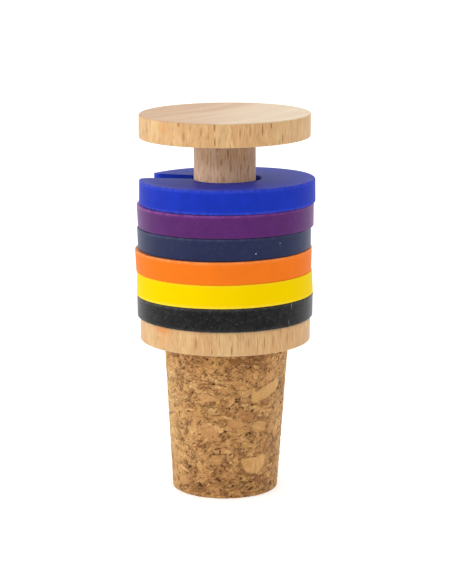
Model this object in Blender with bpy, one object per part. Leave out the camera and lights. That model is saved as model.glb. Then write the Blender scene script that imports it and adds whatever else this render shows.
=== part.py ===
"""A bottle stopper: a turned beech spool glued to a tapered cork, with six slit silicone rings on its neck.

The origin is the centre of the cork's free end. +Z runs up the stopper's axis to its top disc, and -X
runs out through the slit of the top ring. Sizes are written in millimetres times MM, so they are metres.
"""

import math
from dataclasses import dataclass

import bmesh
import bpy

MM = 0.001

# Clearance that every two touching pieces keep
SEAT_GAP = 0.3 * MM

# Cork plug
CORK_LENGTH = 27.0 * MM
CORK_TOP_DIAMETER = 22.2 * MM
CORK_END_DIAMETER = 18.8 * MM
CORK_END_ROUND = 0.8 * MM

# Beech spool, turned from one dowel: tenon, seat disc, neck and top disc
DISC_DIAMETER = 30.0 * MM
DISC_EDGE_ROUND = 0.35 * MM
TOP_DISC_THICKNESS = 4.05 * MM
SEAT_DISC_THICKNESS = 4.2 * MM
NECK_DIAMETER = 10.9 * MM
NECK_SPARE = 7.44 * MM
TENON_DIAMETER = 8.0 * MM
TENON_LENGTH = 12.0 * MM
TENON_END_ROUND = 0.6 * MM

# Silicone rings
RING_DIAMETER = 31.2 * MM
RING_THICKNESS = 3.77 * MM
RING_EDGE_ROUND = 0.28 * MM
RING_HOLE_CLEARANCE = 0.55 * MM
RING_SLIT_WIDTH = 4.2 * MM

# Facets round a full turn, and along a rounded edge
SPOOL_SIDES = 64
CORK_SIDES = 56
RING_SIDES = 64
WOOD_ROUND_STEPS = 2
RING_ROUND_STEPS = 1

# Roughness of each material's surface
BEECH_ROUGHNESS = 0.55
CORK_ROUGHNESS = 0.85
SILICONE_ROUGHNESS = 0.6

# Colours, as 8-bit sRGB values
BEECH_COLOUR = (226, 190, 142)
CORK_COLOUR = (190, 142, 90)


@dataclass(frozen=True)
class Ring:
    """One slit ring: its colour, where its slit points, and how it has slid on the neck.

    slit_bearing is the slit's direction in plan, in degrees from +X towards +Y. slit_spread is the
    angle in degrees between the slit's walls, which are parallel in a ring at ease. slide is the
    ring's shift along X and Y, as a share of the play that it has on the neck.
    """

    name: str
    colour: tuple
    slit_bearing: float
    slit_spread: float
    slide: tuple


# From the lowest ring to the top one
RINGS = (
    Ring("ring_black", (42, 42, 46), 62.0, 2.0, (0.1, 0.0)),
    Ring("ring_yellow", (248, 215, 10), 128.0, 3.0, (0.1, -0.2)),
    Ring("ring_orange", (246, 132, 50), 100.0, 2.0, (-0.7, 0.2)),
    Ring("ring_navy", (58, 64, 96), 147.0, 3.0, (-0.5, 0.1)),
    Ring("ring_purple", (104, 48, 118), 90.0, 4.0, (0.5, 0.2)),
    Ring("ring_blue", (42, 62, 205), 180.0, 9.0, (0.95, 0.0)),
)


def clear_scene():
    """Remove every object, so that the model starts from an empty scene."""
    for old in list(bpy.data.objects):
        bpy.data.objects.remove(old, do_unlink=True)


def linear(colour):
    """Turn an 8-bit sRGB colour into the linear values that a shader takes."""
    values = []
    for level in colour:
        share = level / 255.0
        low = share / 12.92
        high = ((share + 0.055) / 1.055) ** 2.4
        values.append(low if share <= 0.04045 else high)
    return (*values, 1.0)


def plain_material(name, colour, roughness):
    """Make a non-metallic Principled material."""
    material = bpy.data.materials.new(name)
    material.use_nodes = True
    shader = material.node_tree.nodes["Principled BSDF"]
    shader.inputs["Base Color"].default_value = linear(colour)
    shader.inputs["Roughness"].default_value = roughness
    shader.inputs["Metallic"].default_value = 0.0
    return material


def add_piece(name, shape, material):
    """Turn a bmesh into a named, smooth-shaded object with its material, and return the object."""
    bmesh.ops.recalc_face_normals(shape, faces=shape.faces[:])
    mesh = bpy.data.meshes.new(name)
    shape.to_mesh(mesh)
    shape.free()
    mesh.shade_smooth()
    mesh.set_sharp_from_angle(angle=math.radians(35.0))
    mesh.materials.append(material)
    piece = bpy.data.objects.new(name, mesh)
    bpy.context.scene.collection.objects.link(piece)
    return piece


def rounded_corner(radius, height, fillet, start, steps):
    """Points of a quarter-circle fillet in a profile, as (radius, height) pairs.

    radius and height are the fillet's centre. The quarter starts at the angle start, in degrees,
    where 0 points away from the axis and 90 points up.
    """
    points = []
    for step in range(steps + 1):
        angle = math.radians(start + 90.0 * step / steps)
        points.append((radius + fillet * math.cos(angle), height + fillet * math.sin(angle)))
    return points


def turned(name, profile, sides, material):
    """Spin a profile about Z into one closed solid. The profile starts and ends on the axis."""
    shape = bmesh.new()
    points = [shape.verts.new((radius, 0.0, height)) for radius, height in profile]
    edges = [shape.edges.new(pair) for pair in zip(points, points[1:])]
    bmesh.ops.spin(shape, geom=points + edges, cent=(0, 0, 0), axis=(0, 0, 1),
                   angle=math.tau, steps=sides, use_merge=True)
    bmesh.ops.remove_doubles(shape, verts=shape.verts[:], dist=0.001 * MM)
    return add_piece(name, shape, material)


def disc_edge(bottom, top):
    """Profile of a disc's rounded rim, from its lower face to its upper one."""
    fillet = min(DISC_EDGE_ROUND, (top - bottom) / 2.5)
    inner = DISC_DIAMETER / 2 - fillet
    lower = rounded_corner(inner, bottom + fillet, fillet, -90.0, WOOD_ROUND_STEPS)
    upper = rounded_corner(inner, top - fillet, fillet, 0.0, WOOD_ROUND_STEPS)
    return lower + upper


def seat_bottom():
    """Height of the seat disc's lower face, which sits on the cork."""
    return CORK_LENGTH + SEAT_GAP


def seat_top():
    """Height of the seat disc's upper face, which carries the rings."""
    return seat_bottom() + SEAT_DISC_THICKNESS


def ring_bottom(place):
    """Height of the lower face of the ring at a place in the stack, counted from 0."""
    return seat_top() + SEAT_GAP + place * (RING_THICKNESS + SEAT_GAP)


def top_disc_bottom():
    """Height of the top disc's lower face, a free stretch of neck above the last ring."""
    stack_top = ring_bottom(len(RINGS) - 1) + RING_THICKNESS
    return stack_top + NECK_SPARE


def tenon_end():
    """Height of the tenon's lower end, inside the cork's bore."""
    return seat_bottom() - TENON_LENGTH


def build_spool(material):
    """The beech spool: a tenon, the seat disc, the neck and the top disc, in one piece."""
    tenon = TENON_DIAMETER / 2
    neck = NECK_DIAMETER / 2
    top = top_disc_bottom() + TOP_DISC_THICKNESS
    tenon_corner = rounded_corner(tenon - TENON_END_ROUND, tenon_end() + TENON_END_ROUND,
                                  TENON_END_ROUND, -90.0, WOOD_ROUND_STEPS)
    profile = [(0.0, tenon_end())]
    profile += tenon_corner
    profile += [(tenon, seat_bottom())]
    profile += disc_edge(seat_bottom(), seat_top())
    profile += [(neck, seat_top()), (neck, top_disc_bottom())]
    profile += disc_edge(top_disc_bottom(), top)
    profile += [(0.0, top)]
    return turned("turned_head", profile, SPOOL_SIDES, material)


def build_cork(material):
    """The cork plug: a taper with a rounded free end, and a blind bore from its top for the tenon."""
    end = CORK_END_DIAMETER / 2
    bore = TENON_DIAMETER / 2 + SEAT_GAP
    bore_bottom = tenon_end() - SEAT_GAP
    profile = [(0.0, 0.0)]
    profile += rounded_corner(end - CORK_END_ROUND, CORK_END_ROUND, CORK_END_ROUND,
                              -90.0, WOOD_ROUND_STEPS)
    profile += [(CORK_TOP_DIAMETER / 2, CORK_LENGTH), (bore, CORK_LENGTH)]
    profile += [(bore, bore_bottom), (0.0, bore_bottom)]
    return turned("cork_plug", profile, CORK_SIDES, material)


def ring_section(bottom):
    """Closed cross-section of a ring, as (radius, height) pairs: a rectangle with rounded corners."""
    inner = NECK_DIAMETER / 2 + RING_HOLE_CLEARANCE
    outer = RING_DIAMETER / 2
    top = bottom + RING_THICKNESS
    fillet = min(RING_EDGE_ROUND, RING_THICKNESS / 2.5)
    steps = RING_ROUND_STEPS
    section = rounded_corner(outer - fillet, bottom + fillet, fillet, -90.0, steps)
    section += rounded_corner(outer - fillet, top - fillet, fillet, 0.0, steps)
    section += rounded_corner(inner + fillet, top - fillet, fillet, 90.0, steps)
    section += rounded_corner(inner + fillet, bottom + fillet, fillet, 180.0, steps)
    return section


def slit_wall_angle(radius, spread):
    """Angle in radians from the slit's middle to its wall, at a radius.

    The wall is a straight line in plan. It passes through the hole's edge at half the slit's width
    and leans outwards by half the spread.
    """
    hole = NECK_DIAMETER / 2 + RING_HOLE_CLEARANCE
    lean = math.radians(spread) / 2
    at_hole = math.asin(RING_SLIT_WIDTH / 2 / hole)
    distance = hole * math.sin(at_hole - lean)
    return lean + math.asin(distance / radius)


def build_ring(ring, place, material):
    """One silicone ring: its section carried round from one wall of its slit to the other."""
    section = ring_section(ring_bottom(place))
    shape = bmesh.new()
    stations = []
    for step in range(RING_SIDES + 1):
        station = []
        for radius, height in section:
            wall = slit_wall_angle(radius, ring.slit_spread)
            angle = wall + (math.tau - 2 * wall) * step / RING_SIDES
            place_xyz = (radius * math.cos(angle), radius * math.sin(angle), height)
            station.append(shape.verts.new(place_xyz))
        stations.append(station)
    corners = len(section)
    for here, ahead in zip(stations, stations[1:]):
        for corner in range(corners):
            after = (corner + 1) % corners
            shape.faces.new((here[corner], here[after], ahead[after], ahead[corner]))
    shape.faces.new(stations[0])
    shape.faces.new(stations[-1])
    piece = add_piece(ring.name, shape, material)
    play = RING_HOLE_CLEARANCE - SEAT_GAP
    piece.location = (ring.slide[0] * play, ring.slide[1] * play, 0.0)
    piece.rotation_euler = (0.0, 0.0, math.radians(ring.slit_bearing))
    return piece


def build_rings():
    """The stack of rings, lowest first, each in its own colour."""
    for place, ring in enumerate(RINGS):
        silicone = plain_material(f"silicone_{ring.name}", ring.colour, SILICONE_ROUGHNESS)
        build_ring(ring, place, silicone)


def main():
    """Build the stopper."""
    clear_scene()
    build_cork(plain_material("agglomerated_cork", CORK_COLOUR, CORK_ROUGHNESS))
    build_spool(plain_material("beech", BEECH_COLOUR, BEECH_ROUGHNESS))
    build_rings()


main()
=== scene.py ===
"""Looks of a bottle stopper: turned beech head, agglomerated cork plug and six slit silicone rings.

Lengths are metres, written as millimetres times MM. Bearings are degrees round the stopper's axis: 0
faces the camera and 90 is the camera's right. plan_angle turns a bearing into a direction in plan.
"""

from __future__ import annotations

import logging
import math
from dataclasses import dataclass, field
from enum import Enum

import bpy
import numpy as np
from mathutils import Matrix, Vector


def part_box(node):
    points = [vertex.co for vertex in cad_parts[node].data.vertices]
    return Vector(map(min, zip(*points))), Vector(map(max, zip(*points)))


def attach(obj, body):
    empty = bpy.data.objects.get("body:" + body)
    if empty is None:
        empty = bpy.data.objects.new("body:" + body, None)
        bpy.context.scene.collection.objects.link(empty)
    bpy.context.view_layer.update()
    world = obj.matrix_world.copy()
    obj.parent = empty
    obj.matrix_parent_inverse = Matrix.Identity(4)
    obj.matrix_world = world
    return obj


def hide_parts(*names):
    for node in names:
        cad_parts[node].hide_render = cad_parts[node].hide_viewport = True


MM = 0.001
ROOT = "root"

# The camera stands this far round from the direction that looks along +Y, in degrees
CAMERA_AZIMUTH = 15.0

# The line of glue between the cork's top and the seat disc
GLUE_LINE = 0.05 * MM

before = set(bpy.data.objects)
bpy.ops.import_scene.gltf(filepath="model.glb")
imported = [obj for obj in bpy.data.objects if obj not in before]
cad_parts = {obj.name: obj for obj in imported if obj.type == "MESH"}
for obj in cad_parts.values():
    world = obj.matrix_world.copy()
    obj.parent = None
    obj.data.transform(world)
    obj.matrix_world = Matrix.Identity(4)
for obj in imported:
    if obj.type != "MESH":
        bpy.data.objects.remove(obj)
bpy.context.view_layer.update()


def plan_angle(bearing: float | np.ndarray) -> float | np.ndarray:
    """Turn a bearing into the plan angle from +X towards +Y.

    Args:
        bearing: Degrees, 0 towards the camera and positive to its right.

    Returns:
        The angle in radians.
    """
    return np.radians(bearing + CAMERA_AZIMUTH - 90.0)


def bearing_of(points: np.ndarray) -> np.ndarray:
    """Return the bearings in degrees of N by 3 points, from the arc tangent of y over x."""
    return np.degrees(np.arctan2(points[:, 1], points[:, 0])) + 90.0 - CAMERA_AZIMUTH


def on_axis_circle(bearing: float, radius: float, height: float) -> tuple[float, float, float]:
    """Return the point at a bearing, a distance from the axis and a height."""
    angle = plan_angle(bearing)
    return (radius * math.cos(angle), radius * math.sin(angle), height)


def linear(red: int, green: int, blue: int) -> tuple[float, float, float, float]:
    """Turn an 8-bit sRGB colour into a linear RGBA colour.

    Args:
        red: Red level, 0 to 255.
        green: Green level, 0 to 255.
        blue: Blue level, 0 to 255.

    Returns:
        The linear colour with full alpha.
    """
    share = np.array([red, green, blue]) / 255.0
    value = np.where(share <= 0.04045, share / 12.92, ((share + 0.055) / 1.055) ** 2.4)
    return (*map(float, value), 1.0)


def smoothstep(low: float, high: float, value: np.ndarray) -> np.ndarray:
    """Rise smoothly from 0 at low to 1 at high: 3t squared minus 2t cubed, with t clamped."""
    share = np.clip((value - low) / (high - low), 0.0, 1.0)
    return share * share * (3.0 - 2.0 * share)


@dataclass(frozen=True)
class Noise:
    """Seeded smooth noise in space, the same on each run.

    One octave gives each corner of a cubic lattice a hashed value from -1 to 1 and blends the eight
    corners round a point with smoothstep weights.
    """

    seed: int

    def corner(self, cell: np.ndarray) -> np.ndarray:
        """Hash the lattice's cells to values.

        A cell's parts are multiplied by large odd numbers and summed with the seed. The sum's high
        bits are then folded down and multiplied again, twice, so that neighbours differ.

        Args:
            cell: N by 3 whole numbers.

        Returns:
            N values from -1 to 1.
        """
        mixed = cell.astype(np.int64) * np.array([374761393, 668265263, 1440662683])
        value = (mixed.sum(axis=-1) + self.seed * 97_531_357) & 0xFFFFFFFF
        value = ((value ^ (value >> 13)) * 1274126177) & 0xFFFFFFFF
        value = ((value ^ (value >> 16)) * 2246822519) & 0xFFFFFFFF
        return (value ^ (value >> 15)) / float(0xFFFFFFFF) * 2.0 - 1.0

    def octave(self, points: np.ndarray, size: float) -> np.ndarray:
        """Work out one octave of noise, whose blobs are about size across.

        Args:
            points: N by 3 positions.
            size: The lattice's step.

        Returns:
            N values from -1 to 1.
        """
        scaled = points / size
        base = np.floor(scaled)
        share = scaled - base
        weight = share * share * (3.0 - 2.0 * share)
        total = np.zeros(len(points))
        for step in np.ndindex(2, 2, 2):
            side = np.array(step)
            blend = np.where(side == 1, weight, 1.0 - weight).prod(axis=-1)
            total += blend * self.corner(base + side)
        return total

    def layered(self, points: np.ndarray, size: float, octaves: int) -> np.ndarray:
        """Sum octaves, each half the size and half the height of the one before.

        Args:
            points: N by 3 positions.
            size: The first octave's size.
            octaves: How many there are.

        Returns:
            N values round 0. The first octave's share of them is from -1 to 1.
        """
        total = np.zeros(len(points))
        height = 1.0
        for level in range(octaves):
            total += height * Noise(self.seed + 17 * level).octave(points, size / 2**level)
            height *= 0.5
        return total


@dataclass(frozen=True)
class CellField:
    """Cells round seeds scattered in space, one seed to each cube of a lattice.

    A point belongs to the seed with the smallest weighed distance, and each seed has its own
    weight, so the cells differ in size.

    Args:
        seed: What sets the cells apart from another field's.
        size: The side of the lattice's cubes.
        flatness: How much the cells are squashed in height.
        wander: How far a seed strays from its cube's middle, in shares of the cube.
        unevenness: How much the seeds' weights differ.
    """

    seed: int
    size: float
    flatness: float
    wander: float = 0.46
    unevenness: float = 0.35

    def seek(self, points: np.ndarray) -> tuple[np.ndarray, np.ndarray, np.ndarray]:
        """Find each point's cell among the 27 cubes round it.

        Args:
            points: N by 3 positions.

        Returns:
            The cell's first and second value, each from -1 to 1, and how much further the second
            nearest seed is than the nearest, in shares of the size: 0 on a cell's edge.
        """
        scaled = points * [1.0, 1.0, self.flatness] / self.size
        base = np.floor(scaled)
        values = [Noise(self.seed + 101 * level) for level in range(5)]
        nearest = np.full(len(points), np.inf)
        second = nearest.copy()
        first_value = np.zeros(len(points))
        second_value = np.zeros(len(points))
        for step in np.ndindex(3, 3, 3):
            cell = base + np.array(step) - 1
            jitter = np.stack([values[axis].corner(cell) for axis in range(3)], axis=-1)
            own = values[3].corner(cell)
            offset = scaled - (cell + 0.5 + self.wander * jitter)
            distance = np.sqrt((offset**2).sum(axis=-1)) * (1.0 + self.unevenness * own)
            closer = distance < nearest
            second = np.where(closer, nearest, np.minimum(second, distance))
            first_value = np.where(closer, values[4].corner(cell), first_value)
            second_value = np.where(closer, own, second_value)
            nearest = np.minimum(nearest, distance)
        return first_value, second_value, second - nearest


def grid_quads(rows: int, columns: int, wrap_rows: bool, wrap_columns: bool) -> np.ndarray:
    """List the quads of a grid whose vertices run row by row.

    Rows run up the outside and columns run round from +X towards +Y, so each quad faces outwards.

    Args:
        rows: Number of rows of vertices.
        columns: Number of columns of vertices.
        wrap_rows: True if the last row joins the first.
        wrap_columns: True if the last column joins the first.

    Returns:
        The corner indices, one quad a row.
    """
    row = np.arange(rows if wrap_rows else rows - 1)[:, None]
    column = np.arange(columns if wrap_columns else columns - 1)[None, :]
    next_row = (row + 1) % rows
    next_column = (column + 1) % columns
    corners = [row * columns + column, row * columns + next_column,
               next_row * columns + next_column, next_row * columns + column]
    return np.stack(corners, axis=-1).reshape(-1, 4)


def make_piece(name: str, vertices: np.ndarray, faces: list[np.ndarray],
               fields: dict[str, np.ndarray], material: bpy.types.Material) -> bpy.types.Object:
    """Put arrays into a mesh object at the origin.

    Args:
        name: The piece's name.
        vertices: N by 3 positions.
        faces: Arrays of corner indices, each with one face a row.
        fields: Named values, one a vertex, that the material reads.
        material: The piece's material.

    Returns:
        The new object, linked to the scene.
    """
    mesh = bpy.data.meshes.new(name)
    corners = [corner for block in faces for corner in block.tolist()]
    mesh.from_pydata(vertices.tolist(), [], corners)
    for key, values in fields.items():
        layer = mesh.attributes.new(key, "FLOAT", "POINT")
        layer.data.foreach_set("value", np.ascontiguousarray(values, dtype=np.float32))
    mesh.materials.append(material)
    mesh.shade_smooth()
    mesh.update()
    piece = bpy.data.objects.new(name, mesh)
    bpy.context.scene.collection.objects.link(piece)
    return piece


def spun_shell(profile: np.ndarray, columns: int) -> tuple[np.ndarray, np.ndarray]:
    """Spin a profile about the axis: a point is (r cos a, r sin a, z).

    Args:
        profile: Rows that start with a radius and a height.
        columns: Vertices in a turn.

    Returns:
        The vertices, row by row, and the outward unit vector in plan at each.
    """
    angle = np.linspace(0.0, math.tau, columns, endpoint=False)
    radial = np.stack([np.cos(angle), np.sin(angle), np.zeros(columns)], axis=-1)
    shell = profile[:, 0][:, None, None] * radial[None]
    shell[..., 2] = profile[:, 1][:, None]
    outward = np.broadcast_to(radial[None], shell.shape)
    return shell.reshape(-1, 3), outward.reshape(-1, 3)


def spun_piece(name: str, shell: np.ndarray, ends: tuple[float, float], columns: int,
               fields: dict[str, np.ndarray], material: bpy.types.Material) -> bpy.types.Object:
    """Close a spun shell at both ends with a point on the axis.

    Args:
        name: The piece's name.
        shell: The vertices between the two end points, row by row.
        ends: Heights of the first and the last point on the axis.
        columns: Vertices in a row.
        fields: Named values with one entry a shell vertex.
        material: The piece's material.

    Returns:
        The piece.
    """
    rows = len(shell) // columns
    first, last = len(shell), len(shell) + 1
    poles = np.array([[0.0, 0.0, ends[0]], [0.0, 0.0, ends[1]]])
    here = np.arange(columns)
    ahead = (here + 1) % columns
    top_row = (rows - 1) * columns
    foot = np.stack([np.full(columns, first), ahead, here], axis=1)
    head = np.stack([np.full(columns, last), top_row + here, top_row + ahead], axis=1)
    closed = {key: np.append(values, [values[0], values[-1]]) for key, values in fields.items()}
    return make_piece(name, np.concatenate([shell, poles]),
                      [grid_quads(rows, columns, False, True), foot, head], closed, material)


@dataclass(frozen=True)
class Mark:
    """A local mark on a surface: an ellipsoid about its centre, in metres, and its strength."""

    centre: tuple[float, float, float]
    half_size: tuple[float, float, float]
    strength: float


class Graph:
    """Short calls for wiring one material's nodes."""

    def __init__(self, name: str) -> None:
        """Start an empty node material.

        Args:
            name: The material's name.
        """
        self.material = bpy.data.materials.new(name)
        self.material.use_nodes = True
        self.tree = self.material.node_tree
        self.shader = self.tree.nodes["Principled BSDF"]

    def node(self, kind: str, **settings: object) -> bpy.types.Node:
        """Add a shader node.

        Args:
            kind: Its kind, such as TexNoise.
            settings: Properties to set on it.

        Returns:
            The node.
        """
        made = self.tree.nodes.new(f"ShaderNode{kind}")
        for key, value in settings.items():
            setattr(made, key, value)
        return made

    def feed(self, socket: bpy.types.NodeSocket, value: object) -> None:
        """Link an output into an input, or set the input's own value.

        Args:
            socket: The input.
            value: An output or a constant.
        """
        if isinstance(value, bpy.types.NodeSocket):
            self.tree.links.new(value, socket)
        else:
            socket.default_value = value

    def setting(self, name: str, value: float | tuple[float, ...]) -> None:
        """Set one of the shader's own sockets to a constant."""
        self.shader.inputs[name].default_value = value

    def position(self) -> bpy.types.NodeSocket:
        """Return the Object coordinates."""
        return self.node("TexCoord").outputs["Object"]

    def value(self, name: str) -> bpy.types.NodeSocket:
        """Return the number that the mesh holds under a name."""
        return self.node("Attribute", attribute_name=name).outputs["Fac"]

    def math(self, operation: str, *values: object, clamp: bool = False) -> bpy.types.NodeSocket:
        """Add a Math node.

        Args:
            operation: Its operation.
            values: Outputs or constants for its inputs.
            clamp: True if its result is kept from 0 to 1.

        Returns:
            Its result.
        """
        made = self.node("Math", operation=operation, use_clamp=clamp)
        for socket, value in zip(made.inputs, values):
            self.feed(socket, value)
        return made.outputs[0]

    def vector(self, operation: str, *values: object) -> bpy.types.Node:
        """Add a Vector Math node.

        Args:
            operation: Its operation.
            values: Outputs or constants for its inputs.

        Returns:
            The node.
        """
        made = self.node("VectorMath", operation=operation)
        for socket, value in zip(made.inputs, values):
            self.feed(socket, value)
        return made

    def stretched(self, parts: tuple[object, object, object],
                  sizes: tuple[float, float, float]) -> bpy.types.NodeSocket:
        """Divide three coordinates by their sizes.

        Args:
            parts: The coordinates.
            sizes: A size for each.

        Returns:
            The vector of the three results.
        """
        made = self.node("CombineXYZ")
        for socket, part, size in zip(made.inputs, parts, sizes):
            self.feed(socket, self.math("DIVIDE", part, size))
        return made.outputs[0]

    def noise(self, vector: object, size: float, detail: float,
              roughness: float = 0.5) -> bpy.types.NodeSocket:
        """Add noise whose blobs are about size across, in the vector's unit.

        Args:
            vector: Where the noise is read.
            size: The blobs' size.
            detail: How many finer octaves it has.
            roughness: How strong the finer octaves are.

        Returns:
            The noise, 0 to 1.
        """
        made = self.node("TexNoise")
        self.feed(made.inputs["Vector"], vector)
        made.inputs["Scale"].default_value = 1.0 / size
        made.inputs["Detail"].default_value = detail
        made.inputs["Roughness"].default_value = roughness
        return made.outputs["Fac"]

    def step(self, value: object, low: float, high: float, to_low: float = 0.0,
             to_high: float = 1.0) -> bpy.types.NodeSocket:
        """Change smoothly from one level to another, and stay level beyond both ends.

        Args:
            value: What the change follows.
            low: The value where it starts.
            high: The value where it ends.
            to_low: The level at low.
            to_high: The level at high.

        Returns:
            The level.
        """
        made = self.node("MapRange", interpolation_type="SMOOTHSTEP")
        for socket, entry in zip(made.inputs, (value, low, high, to_low, to_high)):
            self.feed(socket, entry)
        return made.outputs["Result"]

    def blend(self, share: object, first: object, second: object) -> bpy.types.NodeSocket:
        """Mix two colours.

        Args:
            share: The second colour's share, 0 to 1.
            first: The first colour.
            second: The second colour.

        Returns:
            The mix.
        """
        made = self.node("Mix", data_type="RGBA")
        # A Mix node's sockets for numbers and vectors come before those for colours
        self.feed(made.inputs[0], share)
        self.feed(made.inputs[6], first)
        self.feed(made.inputs[7], second)
        return made.outputs[2]

    def marked(self, marks: list[Mark], core: float = 0.35) -> bpy.types.NodeSocket:
        """Work out how strongly a point lies in any of a list of marks.

        A mark is an ellipsoid round its centre. Its strength is full inside its core and falls
        smoothly to nothing at its edge.

        Args:
            marks: The marks.
            core: The core's share of a mark's size.

        Returns:
            The greatest strength, 0 to 1.
        """
        here = self.position()
        total: object = 0.0
        for mark in marks:
            offset = self.vector("SUBTRACT", here, mark.centre).outputs["Vector"]
            scaled = self.vector("DIVIDE", offset, mark.half_size).outputs["Vector"]
            distance = self.vector("LENGTH", scaled).outputs["Value"]
            inside = self.step(distance, core, 1.0, mark.strength, 0.0)
            total = self.math("MAXIMUM", total, inside)
        return total

    def bump(self, height: object, depth: float) -> bpy.types.NodeSocket:
        """Turn a height into a relief.

        Args:
            height: The height, where 1 stands depth proud.
            depth: That depth, in metres.

        Returns:
            The relief's normal.
        """
        made = self.node("Bump")
        made.inputs["Strength"].default_value = 1.0
        made.inputs["Distance"].default_value = depth
        self.feed(made.inputs["Height"], height)
        return made.outputs["Normal"]

    def finish(self, colour: object, roughness: float,
               normal: object = None) -> bpy.types.Material:
        """Connect the shader.

        Args:
            colour: The base colour.
            roughness: How rough the surface is.
            normal: A relief's normal, or None for a smooth surface.

        Returns:
            The material.
        """
        self.feed(self.shader.inputs["Base Color"], colour)
        self.setting("Roughness", roughness)
        if normal is not None:
            self.feed(self.shader.inputs["Normal"], normal)
        return self.material


@dataclass(frozen=True)
class Oval:
    """An upright oval on an upright round wall, with its sizes in millimetres.

    Args:
        bearing: Its middle's bearing.
        height: Its middle's height.
        width: How wide it is.
        length: How tall it is.
        strength: How strongly it shows, 0 to 1.
    """

    bearing: float
    height: float
    width: float
    length: float
    strength: float

    def mark(self, radius: float) -> Mark:
        """Turn the oval into a mark.

        Args:
            radius: The wall's radius, in metres.

        Returns:
            The mark.
        """
        centre = on_axis_circle(self.bearing, radius, self.height * MM)
        half_width, half_length = self.width * MM / 2, self.length * MM / 2
        return Mark(centre, (half_width, half_width, half_length), self.strength)


@dataclass(frozen=True)
class Streaks:
    """One kind of streak in the wood: noise stretched along the grain, which shows where it is high.

    Args:
        tone: The streaks' colour.
        size: Their size out from the pith, round the pith and up the grain.
        detail: How many finer octaves the noise has.
        roughness: How strong the finer octaves are.
        low: The noise's level where a streak begins.
        high: The noise's level where it is full.
        most: Its strength where it is full.
    """

    tone: tuple[int, int, int]
    size: tuple[float, float, float]
    detail: float
    roughness: float
    low: float
    high: float
    most: float = 1.0

    def noise(self, g: Graph, parts: tuple[object, object, object]) -> bpy.types.NodeSocket:
        """Return the streaks' noise, 0 to 1, from a point's three parts about the pith."""
        return g.noise(g.stretched(parts, self.size), 1.0, self.detail, self.roughness)

    def strength(self, g: Graph, noise: bpy.types.NodeSocket) -> bpy.types.NodeSocket:
        """Return how strongly the streaks show for a noise, from 0 to their most."""
        return g.step(noise, self.low, self.high, 0.0, self.most)

    def over(self, g: Graph, colour: object, noise: bpy.types.NodeSocket,
             share: object) -> bpy.types.NodeSocket:
        """Return a colour with the streaks blended over it, by their strength times a share."""
        shown = g.math("MULTIPLY", self.strength(g, noise), share)
        return g.blend(shown, colour, linear(*self.tone))


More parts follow.
